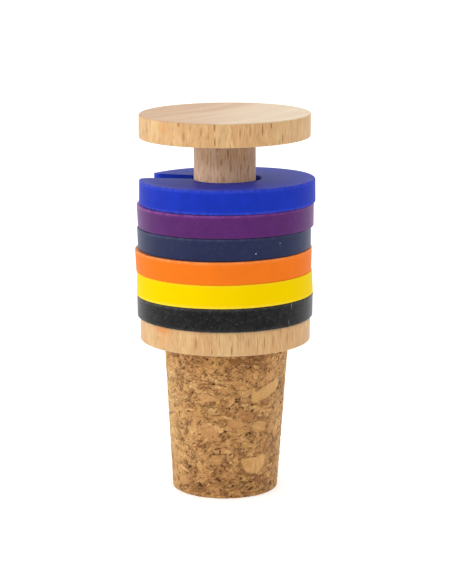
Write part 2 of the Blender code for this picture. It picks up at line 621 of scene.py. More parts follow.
@dataclass(frozen=True)
class BeechFinish:
    """Pale steamed beech with upright grain.

    The growth rings are circles about a pith far outside the stopper, so they cross the end grain
    as broad soft bands. Fibres and pores run upright. Rays are thin sheets that run out from the
    pith, so they show as spindles where a face crosses them.

    Towards the camera's right the rims darken from the side colour to the rim shade colour, and the
    neck from the neck colour to the neck shade colour: painted shade, away from the left lamp. The end
    grain turns from the end colour to the cream colour there. The neck's foot is painted lighter in
    the neck foot light colour. Wander and wobble are the size and the reach of the noise that bends
    the growth rings and the fibres.
    """

    side_colour: tuple[int, int, int] = (212, 175, 122)
    rim_shade_colour: tuple[int, int, int] = (200, 163, 115)
    end_colour: tuple[int, int, int] = (206, 167, 123)
    cream_colour: tuple[int, int, int] = (229, 208, 176)
    neck_colour: tuple[int, int, int] = (212, 179, 146)
    neck_shade_colour: tuple[int, int, int] = (170, 142, 120)
    neck_foot_light_colour: tuple[int, int, int] = (244, 205, 171)
    band_colour: tuple[int, int, int] = (197, 151, 101)
    end_band_colour: tuple[int, int, int] = (194, 149, 110)
    fleck_colour: tuple[int, int, int] = (132, 86, 40)
    blush_colour: tuple[int, int, int] = (208, 138, 74)
    warm_streaks: Streaks = Streaks((206, 152, 97), (1.0 * MM, 0.9 * MM, 5.0 * MM), detail=2.0,
                                    roughness=0.6, low=0.48, high=0.72, most=0.5)
    light_tufts: Streaks = Streaks((228, 191, 134), (0.9 * MM, 0.6 * MM, 3.0 * MM), detail=2.0,
                                   roughness=0.5, low=0.46, high=0.74, most=0.45)
    fibres: Streaks = Streaks((158, 107, 66), (0.2 * MM, 0.2 * MM, 2.6 * MM), detail=3.0,
                              roughness=0.6, low=0.44, high=0.74)
    lines: Streaks = Streaks((158, 107, 66), (0.8 * MM, 0.22 * MM, 4.0 * MM), detail=1.0,
                             roughness=0.5, low=0.6, high=0.74, most=0.4)
    rays: Streaks = Streaks((132, 86, 40), (1.2 * MM, 0.34 * MM, 1.9 * MM), detail=1.0,
                            roughness=0.4, low=0.64, high=0.76)
    pith_distance: float = 75.0 * MM
    pith_bearing: float = -128.0
    far_bearing: float = 70.0
    turning_span: tuple[float, float] = (-11.0 * MM, 12.0 * MM)
    wander: tuple[float, float] = (11.0 * MM, 2.2 * MM)
    wobble: tuple[float, float] = (2.4 * MM, 0.7 * MM)
    broad_bands: tuple[float, float, float] = (3.6 * MM, 40.0 * MM, 80.0 * MM)
    narrow_bands: tuple[float, float, float] = (1.0 * MM, 16.0 * MM, 60.0 * MM)
    broad_share: float = 0.62
    grain_depth: float = 0.03 * MM
    roughness: float = 0.5
    gloss: float = 0.3

    def material(self, name: str, flecks: list[Mark], patches: list[Mark]) -> bpy.types.Material:
        """Make the wood's material.

        Args:
            name: The material's name.
            flecks: Single brown flecks.
            patches: Single orange patches.

        Returns:
            The material.
        """
        g = Graph(name)
        end, waist = g.value("end_grain"), g.value("waist")
        side = g.math("SUBTRACT", 1.0, g.math("MAXIMUM", end, waist))
        fibre_share = g.step(waist, 0.0, 0.2, 0.42, 0.85)
        ray_share = g.step(end, 0.0, 1.0, 0.32, 0.12)
        parts = self.ring_frame(g)
        fibre_noise, ray_noise = self.fibres.noise(g, parts), self.rays.noise(g, parts)
        colour = self.ground(g, end, waist, self.bands(g, parts))
        colour = self.warm_streaks.over(g, colour, self.warm_streaks.noise(g, parts), side)
        colour = self.light_tufts.over(g, colour, self.light_tufts.noise(g, parts), side)
        colour = self.fibres.over(g, colour, fibre_noise, fibre_share)
        colour = self.lines.over(g, colour, self.lines.noise(g, parts), side)
        colour = self.rays.over(g, colour, ray_noise, ray_share)
        colour = g.blend(g.marked(patches, 0.1), colour, linear(*self.blush_colour))
        colour = g.blend(g.marked(flecks), colour, linear(*self.fleck_colour))
        grooves = g.math("MULTIPLY", self.rays.strength(g, ray_noise), 0.5)
        height = g.math("SUBTRACT", g.math("MULTIPLY", fibre_noise, -1.0), grooves)
        g.setting("Specular IOR Level", self.gloss)
        return g.finish(colour, self.roughness, g.bump(height, self.grain_depth))

    def ground(self, g: Graph, end: object, waist: object, bands: object) -> bpy.types.NodeSocket:
        """Return the wood's ground colour under its streaks.

        Args:
            g: The material's graph.
            end: How much of the end grain a point shows, 0 to 1.
            waist: How much of the neck's colour it shows, and of the painted light on the neck's foot,
                0 to 1.
            bands: The growth bands.

        Returns:
            The colour: one for the rims, one for the neck and one for the end grain, the rims and the
                neck darkening towards the camera's right as painted shade, the end grain turning cream
                there, and the neck's foot painted lighter, with the growth bands over them.
        """
        place = g.vector("DOT_PRODUCT", g.position(), on_axis_circle(self.far_bearing, 1.0, 0.0))
        far = g.step(place.outputs["Value"], *self.turning_span)
        face = g.blend(far, linear(*self.end_colour), linear(*self.cream_colour))
        # Painted shade: the rims and the neck darken towards the camera's right, away from the left
        # lamp.
        colour = g.blend(far, linear(*self.side_colour), linear(*self.rim_shade_colour))
        neck = g.blend(far, linear(*self.neck_colour), linear(*self.neck_shade_colour))
        # Painted light: the neck's foot is lighter, less so towards the camera's right.
        foot = g.math("MULTIPLY", g.step(waist, 0.24, 1.0), g.step(far, 0.0, 1.0, 1.0, 0.7))
        neck = g.blend(foot, neck, linear(*self.neck_foot_light_colour))
        colour = g.blend(g.step(waist, 0.0, 0.2), colour, neck)
        colour = g.blend(end, colour, face)
        banded = g.blend(end, linear(*self.band_colour), linear(*self.end_band_colour))
        calm = g.math("MAXIMUM", g.math("MULTIPLY", far, end), waist)
        shown = g.math("MULTIPLY", g.step(bands, 0.36, 0.62), g.step(calm, 0.0, 1.0, 0.7, 0.25))
        return g.blend(shown, colour, banded)

    def ring_frame(self, g: Graph) -> tuple[object, object, object]:
        """Measure a point from the pith.

        The way out wanders with soft noise, so the growth rings aren't true circles, and the way
        round wobbles with finer noise, so the fibres are wavy.

        Args:
            g: The material's graph.

        Returns:
            The point's way out from the pith, its way round the pith, and its height.
        """
        pith = on_axis_circle(self.pith_bearing, self.pith_distance, 0.0)
        offset = g.vector("SUBTRACT", g.position(), pith).outputs["Vector"]
        parts = g.node("SeparateXYZ")
        g.feed(parts.inputs[0], offset)
        across = g.vector("MULTIPLY", offset, (1.0, 1.0, 0.0)).outputs["Vector"]
        radius = g.vector("LENGTH", across).outputs["Value"]
        turn = g.math("ARCTAN2", parts.outputs["Y"], parts.outputs["X"])
        wander, wobble = (g.math("MULTIPLY", g.noise(g.position(), size, 1.0), reach)
                          for size, reach in (self.wander, self.wobble))
        around = g.math("ADD", g.math("MULTIPLY", turn, self.pith_distance), wobble)
        return (g.math("ADD", radius, wander), around, parts.outputs["Z"])

    def bands(self, g: Graph, parts: tuple[object, object, object]) -> bpy.types.NodeSocket:
        """Lay the growth bands: noise that changes fast along the way out from the pith only.

        Args:
            g: The material's graph.
            parts: A point's three parts about the pith.

        Returns:
            The bands, 0 to 1.
        """
        broad = g.noise(g.stretched(parts, self.broad_bands), 1.0, 0.0)
        narrow = g.noise(g.stretched(parts, self.narrow_bands), 1.0, 1.0)
        return g.math("ADD", g.math("MULTIPLY", broad, self.broad_share),
                      g.math("MULTIPLY", narrow, 1.0 - self.broad_share))


def camera_sides(points: np.ndarray) -> tuple[np.ndarray, np.ndarray]:
    """Split the points' way from the axis in plan into two ways as the camera sees them.

    Args:
        points: N by 3 positions.

    Returns:
        How far each point lies to the right of the axis, and how far beyond it.
    """
    facing = plan_angle(90.0)
    right = points[:, 0] * math.cos(facing) + points[:, 1] * math.sin(facing)
    beyond = points[:, 1] * math.cos(facing) - points[:, 0] * math.sin(facing)
    return right, beyond


def slid(points: np.ndarray, side: float | np.ndarray) -> np.ndarray:
    """Slide points to the camera's right.

    Args:
        points: N by 3 positions.
        side: How far, as one value or as one a point.

    Returns:
        The points in their new places.
    """
    facing = plan_angle(90.0)
    moved = points.copy()
    moved[:, 0] += side * math.cos(facing)
    moved[:, 1] += side * math.sin(facing)
    return moved


@dataclass
class TurnedHead:
    """The one-piece beech head: tenon, seat disc, neck and top disc.

    The seat and top shifts are the discs' way off the axis to the camera's right, and the tilt is the
    top disc's rise to the right and to the back. The nicks are dents in the arrises. The neck's value,
    which carries the painted light on its foot, fades between the two heights of waist_fade, measured
    down from the top disc, and loses waist_loss of its strength, so the neck is painted darker under
    the top disc.
    """

    top: float
    top_radius: float = 15.1 * MM
    seat_radius: float = 15.13 * MM
    seat_height: float = 27.3 * MM
    seat_thickness: float = 4.24 * MM
    top_disc_thickness: float = 4.1 * MM
    neck_radius: float = 5.465 * MM
    edge_round: float = 0.24 * MM
    under_round: float = 0.12 * MM
    tenon_radius: float = 4.0 * MM
    tenon_length: float = 12.0 * MM
    seat_shift: float = 0.07 * MM
    top_shift: float = -0.03 * MM
    disc_lift: float = 0.09 * MM
    disc_tilt: tuple[float, float] = (0.008, 0.009)
    nick_size: float = 0.9 * MM
    nick_depth: float = 0.06 * MM
    waist_fade: tuple[float, float] = (7.4 * MM, 2.5 * MM)
    waist_loss: float = 0.76
    speck_half_size: tuple[float, float, float] = (0.55 * MM, 0.55 * MM, 0.2 * MM)
    columns: int = 512
    finish: BeechFinish = field(default_factory=BeechFinish)

    def profile(self) -> np.ndarray:
        """Work out the turned profile, from the tenon's end on the axis to the top face's centre.

        Each stretch is a straight line or a quarter circle sampled at even steps.

        Returns:
            Rows of radius, height, end grain (1 on flat faces and 0 on upright walls) and arris
            (1 on the discs' rounded edges).
        """
        tenon_end = self.seat_height - self.tenon_length
        seat_top = self.seat_height + self.seat_thickness
        disc_bottom = self.top - self.top_disc_thickness
        stretches = [
            self.flat(0.0, self.tenon_radius, tenon_end, 6),
            self.wall(self.tenon_radius, tenon_end, self.seat_height, 6),
            self.flat(self.tenon_radius, self.seat_radius - self.under_round, self.seat_height, 16),
            self.rim(self.seat_radius, self.seat_height, seat_top),
            self.flat(self.seat_radius - self.edge_round, self.neck_radius, seat_top, 12),
            self.wall(self.neck_radius, seat_top, disc_bottom, 40),
            self.flat(self.neck_radius, self.top_radius - self.under_round, disc_bottom, 16),
            self.rim(self.top_radius, disc_bottom, self.top),
            self.flat(self.top_radius - self.edge_round, 0.0, self.top, 30),
        ]
        return np.concatenate(stretches)

    def flat(self, start: float, end: float, height: float, count: int) -> np.ndarray:
        """Return a level stretch between two radii."""
        radius = np.linspace(start, end, count)
        return np.stack([radius, 0 * radius + height, 0 * radius + 1.0, 0 * radius], axis=1)

    def wall(self, radius: float, low: float, high: float, count: int) -> np.ndarray:
        """Return an upright stretch between two heights, without its end points."""
        height = np.linspace(low, high, count + 2)[1:-1]
        return np.stack([0 * height + radius, height, 0 * height, 0 * height], axis=1)

    def rim(self, radius: float, low: float, high: float) -> np.ndarray:
        """Work out a disc's rim: a wall between two quarter circles.

        Args:
            radius: The disc's radius.
            low: The height of its lower face.
            high: The height of its upper face.

        Returns:
            The rim's rows, from the lower face to the upper one.
        """
        turn = np.radians(np.linspace(90.0, 0.0, 6)[1:])
        under, over = self.under_round, self.edge_round
        grain, arris = np.sin(turn), np.sin(2.0 * turn)
        lower = np.stack([radius - under + under * np.cos(turn),
                          low + under - under * np.sin(turn), grain, arris], axis=1)
        middle = self.wall(radius, low + under, high - over, 14)
        upper = np.stack([radius - over + over * np.cos(turn),
                          high - over + over * np.sin(turn), grain, arris], axis=1)
        return np.concatenate([lower, middle, upper[::-1]])

    def flecks(self) -> list[Mark]:
        """List the single flecks that stand out on the rims, the neck and the top face.

        Returns:
            The flecks as marks.
        """
        top_rim = [
            Oval(-31.2, 67.0, 0.55, 1.2, 0.68), Oval(-27.3, 65.0, 0.75, 2.4, 0.46),
            Oval(-35.0, 64.6, 0.5, 1.4, 0.2), Oval(-23.0, 66.6, 0.5, 1.2, 0.22),
            Oval(-15.4, 65.9, 0.5, 2.2, 0.5), Oval(-6.6, 66.7, 0.5, 2.1, 0.75),
            Oval(-6.4, 64.3, 0.42, 2.2, 0.75), Oval(-0.5, 66.2, 0.3, 1.0, 0.35),
            Oval(9.8, 65.7, 0.4, 2.2, 0.5), Oval(16.6, 65.9, 0.5, 2.4, 0.5),
            Oval(24.9, 66.1, 0.4, 2.8, 0.85), Oval(31.4, 66.8, 0.4, 1.3, 0.75),
            Oval(40.7, 64.5, 0.36, 2.2, 0.85), Oval(50.4, 66.0, 0.3, 3.0, 0.5),
            Oval(56.0, 65.2, 0.26, 2.2, 0.4),
        ]
        seat_rim = [
            Oval(-32.5, 29.2, 0.34, 2.2, 0.4), Oval(-19.2, 29.4, 0.4, 3.2, 0.62),
            Oval(-8.4, 28.1, 0.34, 1.5, 0.52), Oval(-3.5, 29.6, 0.26, 1.8, 0.46),
            Oval(4.5, 28.3, 0.42, 2.2, 0.75), Oval(3.4, 30.6, 0.3, 1.4, 0.4),
            Oval(12.0, 30.4, 0.22, 2.4, 0.5), Oval(15.7, 29.6, 0.26, 2.6, 0.52),
            Oval(21.9, 29.4, 0.24, 3.6, 0.68), Oval(26.7, 29.4, 0.24, 3.4, 0.62),
            Oval(33.2, 29.6, 0.26, 3.6, 0.68), Oval(45.4, 29.7, 0.28, 3.6, 0.7),
            Oval(51.0, 30.0, 0.24, 3.0, 0.52), Oval(57.0, 29.8, 0.24, 3.0, 0.5),
        ]
        neck = [
            Oval(-28.0, 56.6, 0.34, 1.4, 0.35), Oval(-13.6, 62.0, 0.4, 1.9, 0.8),
            Oval(-6.3, 59.5, 0.42, 1.9, 0.7), Oval(5.7, 61.0, 0.42, 2.8, 0.9),
            Oval(11.0, 58.5, 0.34, 2.4, 0.6), Oval(30.3, 58.4, 0.34, 1.7, 0.7),
            Oval(39.1, 60.0, 0.34, 1.8, 0.7), Oval(50.3, 58.2, 0.34, 1.9, 0.6),
            Oval(40.8, 56.8, 0.3, 1.5, 0.5),
        ]
        carried = ((self.top_radius, top_rim), (self.seat_radius, seat_rim), (self.neck_radius, neck))
        marks = [oval.mark(radius) for radius, ovals in carried for oval in ovals]
        specks = [self.top_speck(8.5 * MM, 4.7 * MM, 0.35), self.top_speck(12.9 * MM, 2.4 * MM, 0.3)]
        return marks + specks

    def top_speck(self, right: float, away: float, strength: float) -> Mark:
        """Place a small dark speck on the top face.

        Args:
            right: Its way from the axis to the camera's right.
            away: Its way from the axis away from the camera.
            strength: How dark it is, 0 to 1.

        Returns:
            The speck as a mark.
        """
        bearing = math.degrees(math.atan2(right, -away))
        centre = on_axis_circle(bearing, math.hypot(right, away), self.top)
        return Mark(centre, self.speck_half_size, strength)

    def patches(self) -> list[Mark]:
        """List the orange patches, which lie above each other on the discs' rims.

        Returns:
            The patches as marks.
        """
        top_patch = Oval(-44.4, 66.0, 3.4, 3.0, 0.5)
        seat_patch = Oval(-45.5, 31.1, 5.8, 3.4, 0.95)
        seat_trail = Oval(-47.0, 28.9, 3.2, 3.2, 0.36)
        return [top_patch.mark(self.top_radius), seat_patch.mark(self.seat_radius),
                seat_trail.mark(self.seat_radius)]

    def leaned(self, shell: np.ndarray) -> np.ndarray:
        """Set the neck a little out of true.

        A point's share of the lean grows evenly from the seat disc to the top disc. The top disc
        is lifted, and tilted by its slope times the way right and the way back.

        Args:
            shell: N by 3 positions.

        Returns:
            The points in their new places.
        """
        seat_top = self.seat_height + self.seat_thickness
        share = np.clip((shell[:, 2] - seat_top) / (self.top - self.top_disc_thickness - seat_top),
                        0.0, 1.0)
        right, beyond = camera_sides(shell)
        moved = slid(shell, self.seat_shift + (self.top_shift - self.seat_shift) * share)
        lift = self.disc_lift + self.disc_tilt[0] * right + self.disc_tilt[1] * beyond
        moved[:, 2] += share * lift
        return moved

    def waist(self, inner: np.ndarray) -> np.ndarray:
        """Work out how much of the neck's colour, and of the painted light on its foot, the profile's
        points show.

        It is full at the neck's foot, which is painted lighter, fades smoothly to a quarter under the
        top disc, where the painted light is gone, and is nil off the neck.

        Args:
            inner: The profile's rows.

        Returns:
            A value for each row, 0 to 1.
        """
        on_neck = (np.abs(inner[:, 0] - self.neck_radius) < 0.01 * MM) * (inner[:, 2] == 0.0)
        disc_bottom = self.top - self.top_disc_thickness
        start, end = (disc_bottom - drop for drop in self.waist_fade)
        return on_neck * (1.0 - self.waist_loss * smoothstep(start, end, inner[:, 1]))

    def build(self) -> bpy.types.Object:
        """Spin the profile, nick its arrises a little, dress it and put it in the CAD head's place.

        Returns:
            The head.
        """
        inner = self.profile()[1:-1]
        shell, outward = spun_shell(inner, self.columns)
        arris = np.repeat(inner[:, 3], self.columns)
        nicks = smoothstep(0.1, 0.9, Noise(3).layered(shell, self.nick_size, 2)) * self.nick_depth
        shell = self.leaned(shell - outward * (nicks * arris)[:, None])
        fields = {"end_grain": np.repeat(inner[:, 2], self.columns),
                  "waist": np.repeat(self.waist(inner), self.columns)}
        ends = (self.seat_height - self.tenon_length, self.top + self.disc_lift)
        material = self.finish.material("beech", self.flecks(), self.patches())
        return spun_piece("beech_head", shell, ends, self.columns, fields, material)


class Shade(Enum):
    """The rings' silicone colours, as 8-bit sRGB values."""

    BLUE = (25, 50, 171)
    PURPLE = (83, 36, 97)
    NAVY = (34, 40, 70)
    ORANGE = (230, 115, 30)
    YELLOW = (232, 197, 0)
    BLACK = (12, 12, 12)


@dataclass(frozen=True)
class SiliconeFinish:
    """Matt moulded silicone with a soft sheen, pale dust, and edges rubbed paler with painted
    highlights on them.

    Args:
        shade: The silicone's colour.
        rub_and_light: The colour that its edges turn to where they are rubbed, and their painted
            highlight.
        top_rub_and_light: How strongly the upper edge is rubbed paler and painted lit, 0 to 1.
        foot_rub_and_light: How strongly the lower edge is rubbed paler and painted lit, 0 to 1.
        dust: How strongly the fine pale dust shows.
        mottle: How strongly darker clouds show.
        sheen: How much light its velvety skin scatters at a grazing view.
        gloss: Its specular level.
        bloom: How strongly soft grey blotches show.
        specks: Single larger dust specks.
        roughness: How rough its skin is.
        sheen_tint: The sheen's linear colour, or None for the silicone's own.
        dust_colour: The fine dust's colour.
        bloom_colour: The blotches' colour.
        speck_colour: The dust specks' colour.
        cloud_size: The clouds' size.
        edge_patch_size: The size of the gaps in the rubbed and painted-lit edges.
        dust_size: The fine dust's size.
        dust_depth: How far the fine dust stands out.
        bloom_size: The blotches' size.
        sheen_roughness: How softly the skin's sheen spreads.
    """

    shade: Shade
    rub_and_light: tuple[int, int, int]
    top_rub_and_light: float
    foot_rub_and_light: float
    dust: float
    mottle: float
    sheen: float
    gloss: float
    bloom: float = 0.0
    specks: tuple[Mark, ...] = ()
    roughness: float = 0.42
    sheen_tint: tuple[float, float, float] | None = None
    dust_colour: tuple[int, int, int] = (150, 152, 158)
    bloom_colour: tuple[int, int, int] = (150, 150, 150)
    speck_colour: tuple[int, int, int] = (200, 205, 215)
    cloud_size: float = 2.6 * MM
    edge_patch_size: float = 0.9 * MM
    dust_size: float = 0.42 * MM
    dust_depth: float = 0.02 * MM
    bloom_size: float = 1.3 * MM
    sheen_roughness: float = 0.35

    def material(self) -> bpy.types.Material:
        """Make the silicone's material, with clouds, worn edges, dust, blotches and specks over it.

        Returns:
            The material.
        """
        g = Graph(f"silicone_{self.shade.name.lower()}")
        base = linear(*self.shade.value)
        deep = (*[level * 0.72 for level in base[:3]], 1.0)
        mottle = g.noise(g.position(), self.cloud_size, 4.0, 0.6)
        colour = g.blend(g.step(mottle, 0.35, 0.65, 0.0, self.mottle), base, deep)
        edge_patches = g.noise(g.position(), self.edge_patch_size, 3.0, 0.6)
        patchy = g.step(edge_patches, 0.38, 0.62)
        # Paler edges: partly rubbing, partly painted highlight where the rounded edges catch light,
        # broken into patches by noise.
        upper = g.math("MULTIPLY", g.value("upper_arris"), self.top_rub_and_light)
        lower = g.math("MULTIPLY", g.value("lower_arris"), self.foot_rub_and_light)
        edge_rub_and_light = g.math("MULTIPLY", g.math("ADD", upper, lower),
                      g.step(patchy, 0.0, 1.0, 0.45, 1.0), clamp=True)
        colour = g.blend(edge_rub_and_light, colour, linear(*self.rub_and_light))
        powder = g.noise(g.position(), self.dust_size, 3.0, 0.75)
        colour = g.blend(g.step(powder, 0.52, 0.78, 0.0, self.dust), colour,
                         linear(*self.dust_colour))
        bloom = g.noise(g.position(), self.bloom_size, 3.0, 0.65)
        colour = g.blend(g.step(bloom, 0.42, 0.75, 0.0, self.bloom), colour,
                         linear(*self.bloom_colour))
        if self.specks:
            colour = g.blend(g.marked(list(self.specks)), colour, linear(*self.speck_colour))
        tint = (*[0.35 + 0.65 * level / max(base[:3]) for level in base[:3]], 1.0)
        g.setting("Specular IOR Level", self.gloss)
        g.setting("Specular Tint", tint)
        g.setting("Sheen Weight", self.sheen)
        g.setting("Sheen Roughness", self.sheen_roughness)
        g.setting("Sheen Tint", (*self.sheen_tint, 1.0) if self.sheen_tint else tint)
        return g.finish(colour, self.roughness, g.bump(powder, self.dust_depth))


@dataclass(frozen=True)
class RingSize:
    """What sets one ring apart: its size, its place and its slit.

    Args:
        node: The CAD node that it stands for.
        radius: Its outer radius at mid height.
        flare: How much wider its foot's radius is than its top's.
        shift: How far it has slid to the camera's right, and away from the camera.
        lean: How much further to the right its top stands than its foot.
        slit_bearing: Where its slit points, as a plan angle in degrees.
        slit_spread: The angle between the slit's walls, in degrees.
        burr: How far its edges' ragged burrs stand out.
        foot_round: The radius of its lower edges.
        top_round: The radius of its upper edges.
    """

    node: str
    radius: float
    flare: float
    shift: tuple[float, float]
    lean: float
    slit_bearing: float
    slit_spread: float
    burr: float = 0.0
    foot_round: float = 0.14 * MM
    top_round: float = 0.17 * MM


@dataclass(frozen=True)
class StackFace:
    """The face where two rings meet: its height at the axis, its tilts and its slight waves.

    Args:
        level: Its height at the axis.
        right: How much it rises for each metre to the camera's right.
        front: How much it rises for each metre towards the camera.
        wave: How high its soft waves are.
        seed: The waves' seed.
        gap: How far the rings on both sides stay back from it.
        wave_size: The size of its waves.
    """

    level: float
    right: float
    front: float
    wave: float
    seed: int
    gap: float
    wave_size: float = 11.0 * MM

    def height(self, x: np.ndarray, y: np.ndarray) -> np.ndarray:
        """Work out the height: level, plus each tilt times the way along it, plus soft noise.

        Args:
            x: The points' places along X.
            y: The points' places along Y.

        Returns:
            The face's height at each point.
        """
        side, near = plan_angle(90.0), plan_angle(0.0)
        across = x * math.cos(side) + y * math.sin(side)
        nearer = x * math.cos(near) + y * math.sin(near)
        points = np.stack([x.ravel(), y.ravel(), np.zeros(x.size)], axis=1)
        waves = Noise(self.seed).layered(points, self.wave_size, 2).reshape(x.shape)
        return self.level + self.right * across + self.front * nearer + self.wave * waves


@dataclass
class SlitRing:
    """One moulded silicone ring with a slit, lying between two uneven faces of the stack.

    Args:
        size: What sets the ring apart.
        finish: Its silicone.
        low: The face below it.
        high: The face above it.
        hole_radius: Its hole's radius.
        thickness: Its thickness before it is laid between its faces.
        slit_width: The slit's width at the hole.
        cut_round: The radius of the slit walls' edges.
        mouth_round: The radius of the corners where the slit's walls meet the outside.
        rub_and_light_reach: How far the edges' rubbing and painted light reach, inwards and along the
            outside.
        wall_wave: The size and the height of the outside's soft waves.
        burr_size: The size of the edges' ragged burrs.
        corner_points: Points on a corner of the section.
        upright_points: Points between the corners of an upright side.
        level_points: Points between the corners of a level side.
        stations: Sections round the ring.
    """

    size: RingSize
    finish: SiliconeFinish
    low: StackFace
    high: StackFace
    hole_radius: float = 6.0 * MM
    thickness: float = 4.0 * MM
    slit_width: float = 4.2 * MM
    cut_round: float = 0.14 * MM
    mouth_round: float = 1.95 * MM
    rub_and_light_reach: tuple[float, float] = (2.5 * MM, 0.6 * MM)
    wall_wave: tuple[float, float] = (6.0 * MM, 0.02 * MM)
    burr_size: float = 0.7 * MM
    corner_points: int = 6
    upright_points: int = 9
    level_points: int = 26
    stations: int = 400

    def section(self) -> np.ndarray:
        """Work out the cross-section, run from the lower outer corner up the outside and round.

        The section is a rectangle whose corners are quarter circles, with even points between them
        on its straight sides.

        Returns:
            Rows of radius, height share (0 at the foot and 1 at the top), and how near each point
            is to the outer upper and lower edge: 1 on the edge, 0 a little way in.
        """
        outer, inner, thick = self.size.radius, self.hole_radius, self.thickness
        foot, top = self.size.foot_round, self.size.top_round
        corners = [(outer - foot, foot, foot, -90.0), (outer - top, thick - top, top, 0.0),
                   (inner + top, thick - top, top, 90.0), (inner + foot, foot, foot, 180.0)]
        quarters = []
        for centre, level, fillet, start in corners:
            turn = np.radians(np.linspace(start, start + 90.0, self.corner_points))
            quarters.append(np.stack([centre + fillet * np.cos(turn), level + fillet * np.sin(turn),
                                      0 * turn, 0 * turn], axis=1))
        runs = []
        for place, quarter in enumerate(quarters):
            ahead = quarters[(place + 1) % 4]
            count = self.upright_points if place % 2 == 0 else self.level_points
            share = np.linspace(0.0, 1.0, count + 2)[1:-1, None]
            straight = quarter[-1] + (ahead[0] - quarter[-1]) * share
            runs += [quarter, straight]
        section = np.concatenate(runs)
        # Edge shares for rubbing and painted light. On the top they reach inwards, so the blue ring's
        # outer top is painted lighter than its shaded inner part.
        for column, level in ((2, thick), (3, 0.0)):
            inward = (outer - section[:, 0]) / self.rub_and_light_reach[0]
            along = np.abs(section[:, 1] - level) / self.rub_and_light_reach[1]
            section[:, column] = smoothstep(1.0, 0.0, np.hypot(inward, along))
        section[:, 1] /= thick
        return section

    def wall_angle(self, radius: np.ndarray, back: np.ndarray) -> np.ndarray:
        """Work out the angle from the slit's middle to its wall.

        The wall is a straight line in plan that leans out by half the spread, at a distance from
        the ring's middle. Its angle at a radius is the lean plus the arc sine of that distance
        over the radius. Where it nears the outside it turns back along a quarter circle.

        Args:
            radius: The radii at which the angle is wanted.
            back: How far each is moved back from the slit.

        Returns:
            The angles in radians.
        """
        lean = math.radians(self.size.slit_spread) / 2
        at_hole = math.asin(self.slit_width / 2 / self.hole_radius)
        into = np.clip(radius - (self.size.radius - self.mouth_round), 0.0, self.mouth_round)
        mouth = self.mouth_round - np.sqrt(self.mouth_round**2 - into**2)
        distance = self.hole_radius * math.sin(at_hole - lean) + back + mouth
        return lean + np.arcsin(distance / radius)

    def stretch_of_turn(self) -> tuple[np.ndarray, np.ndarray, np.ndarray]:
        """Share the stations out between the slit's walls.

        Near each wall the section shrinks along a quarter circle, which rounds the cut's edges.

        Returns:
            Each station's share of the turn, its way back from the slit, and its shrinkage.
        """
        cut = self.cut_round
        back = cut * (1.0 - np.cos(np.radians(np.linspace(0.0, 90.0, 5))))[:-1]
        shrink = cut - np.sqrt(np.maximum(cut**2 - (cut - back) ** 2, 0.0))
        main = np.linspace(0.0, 1.0, self.stations - 2 * len(back))
        share = np.concatenate([0 * back, main, 0 * back + 1.0])
        return (share, np.concatenate([back, 0 * main + cut, back[::-1]]),
                np.concatenate([shrink, 0 * main, shrink[::-1]]))

    def build(self) -> bpy.types.Object:
        """Carry the section round from one wall of the slit to the other.

        Heights are shares between the stack's faces below and above. The radius flares towards the
        foot, and the whole ring leans and has slid off the axis.

        Returns:
            The ring.
        """
        section = self.section()
        radius, share = section[:, 0][:, None], section[:, 1][:, None]
        part, back, shrink = (line[None, :] for line in self.stretch_of_turn())
        middle = (self.hole_radius + self.size.radius) / 2
        reach = np.clip((radius - middle) / (0.4 * (self.size.radius - self.hole_radius)), -1.0, 1.0)
        section_r = radius - shrink * reach
        section_h = 0.5 + (share - 0.5) * (1.0 - 2.0 * shrink / self.thickness)
        wall = self.wall_angle(section_r, back)
        angle = wall + (math.tau - 2.0 * wall) * part + math.radians(self.size.slit_bearing)
        section_r = section_r - self.size.flare * (section_h - 0.5) * (radius > middle)
        section_r = section_r + self.burrs(section, angle)
        side = self.size.shift[0] + self.size.lean * (section_h - 0.5)
        away = self.size.shift[1]
        facing = plan_angle(90.0)
        x = section_r * np.cos(angle) + side * math.cos(facing) - away * math.sin(facing)
        y = section_r * np.sin(angle) + side * math.sin(facing) + away * math.cos(facing)
        low = self.low.height(x, y) + self.low.gap
        high = self.high.height(x, y) - self.high.gap
        z = low + (high - low) * section_h
        return self.closed(np.stack([x, y, z], axis=-1), section)

    def burrs(self, section: np.ndarray, angle: np.ndarray) -> np.ndarray:
        """Work out how far the outside stands out: soft waves, and ragged burrs on both edges.

        Args:
            section: The section's rows.
            angle: The plan angles, section points by stations.

        Returns:
            The way out, of the same shape as the angles.
        """
        outside = (section[:, 0] > (self.hole_radius + self.size.radius) / 2)[:, None]
        points = np.stack([np.cos(angle) * self.size.radius, np.sin(angle) * self.size.radius,
                           section[:, 1][:, None] * self.thickness + 0 * angle], axis=-1)
        flat = points.reshape(-1, 3)
        wave_size, wave_height = self.wall_wave
        waves = Noise(self.low.seed + 5).octave(flat, wave_size).reshape(angle.shape) * wave_height
        ragged = smoothstep(0.2, 1.0, Noise(self.low.seed + 9).layered(flat, self.burr_size, 2))
        edges = (section[:, 2] + 0.6 * section[:, 3])[:, None]
        lifted = self.size.burr * edges * ragged.reshape(angle.shape)
        return outside * (waves + lifted)

    def closed(self, grid: np.ndarray, section: np.ndarray) -> bpy.types.Object:
        """Close the swept skin with the two walls of the slit.

        Args:
            grid: The skin's vertices, section points by stations.
            section: The section's rows.

        Returns:
            The ring as a piece.
        """
        rows, columns = grid.shape[:2]
        first = [wall * columns for wall in self.wall_faces(rows)]
        last = [wall[:, ::-1] * columns + columns - 1 for wall in self.wall_faces(rows)]
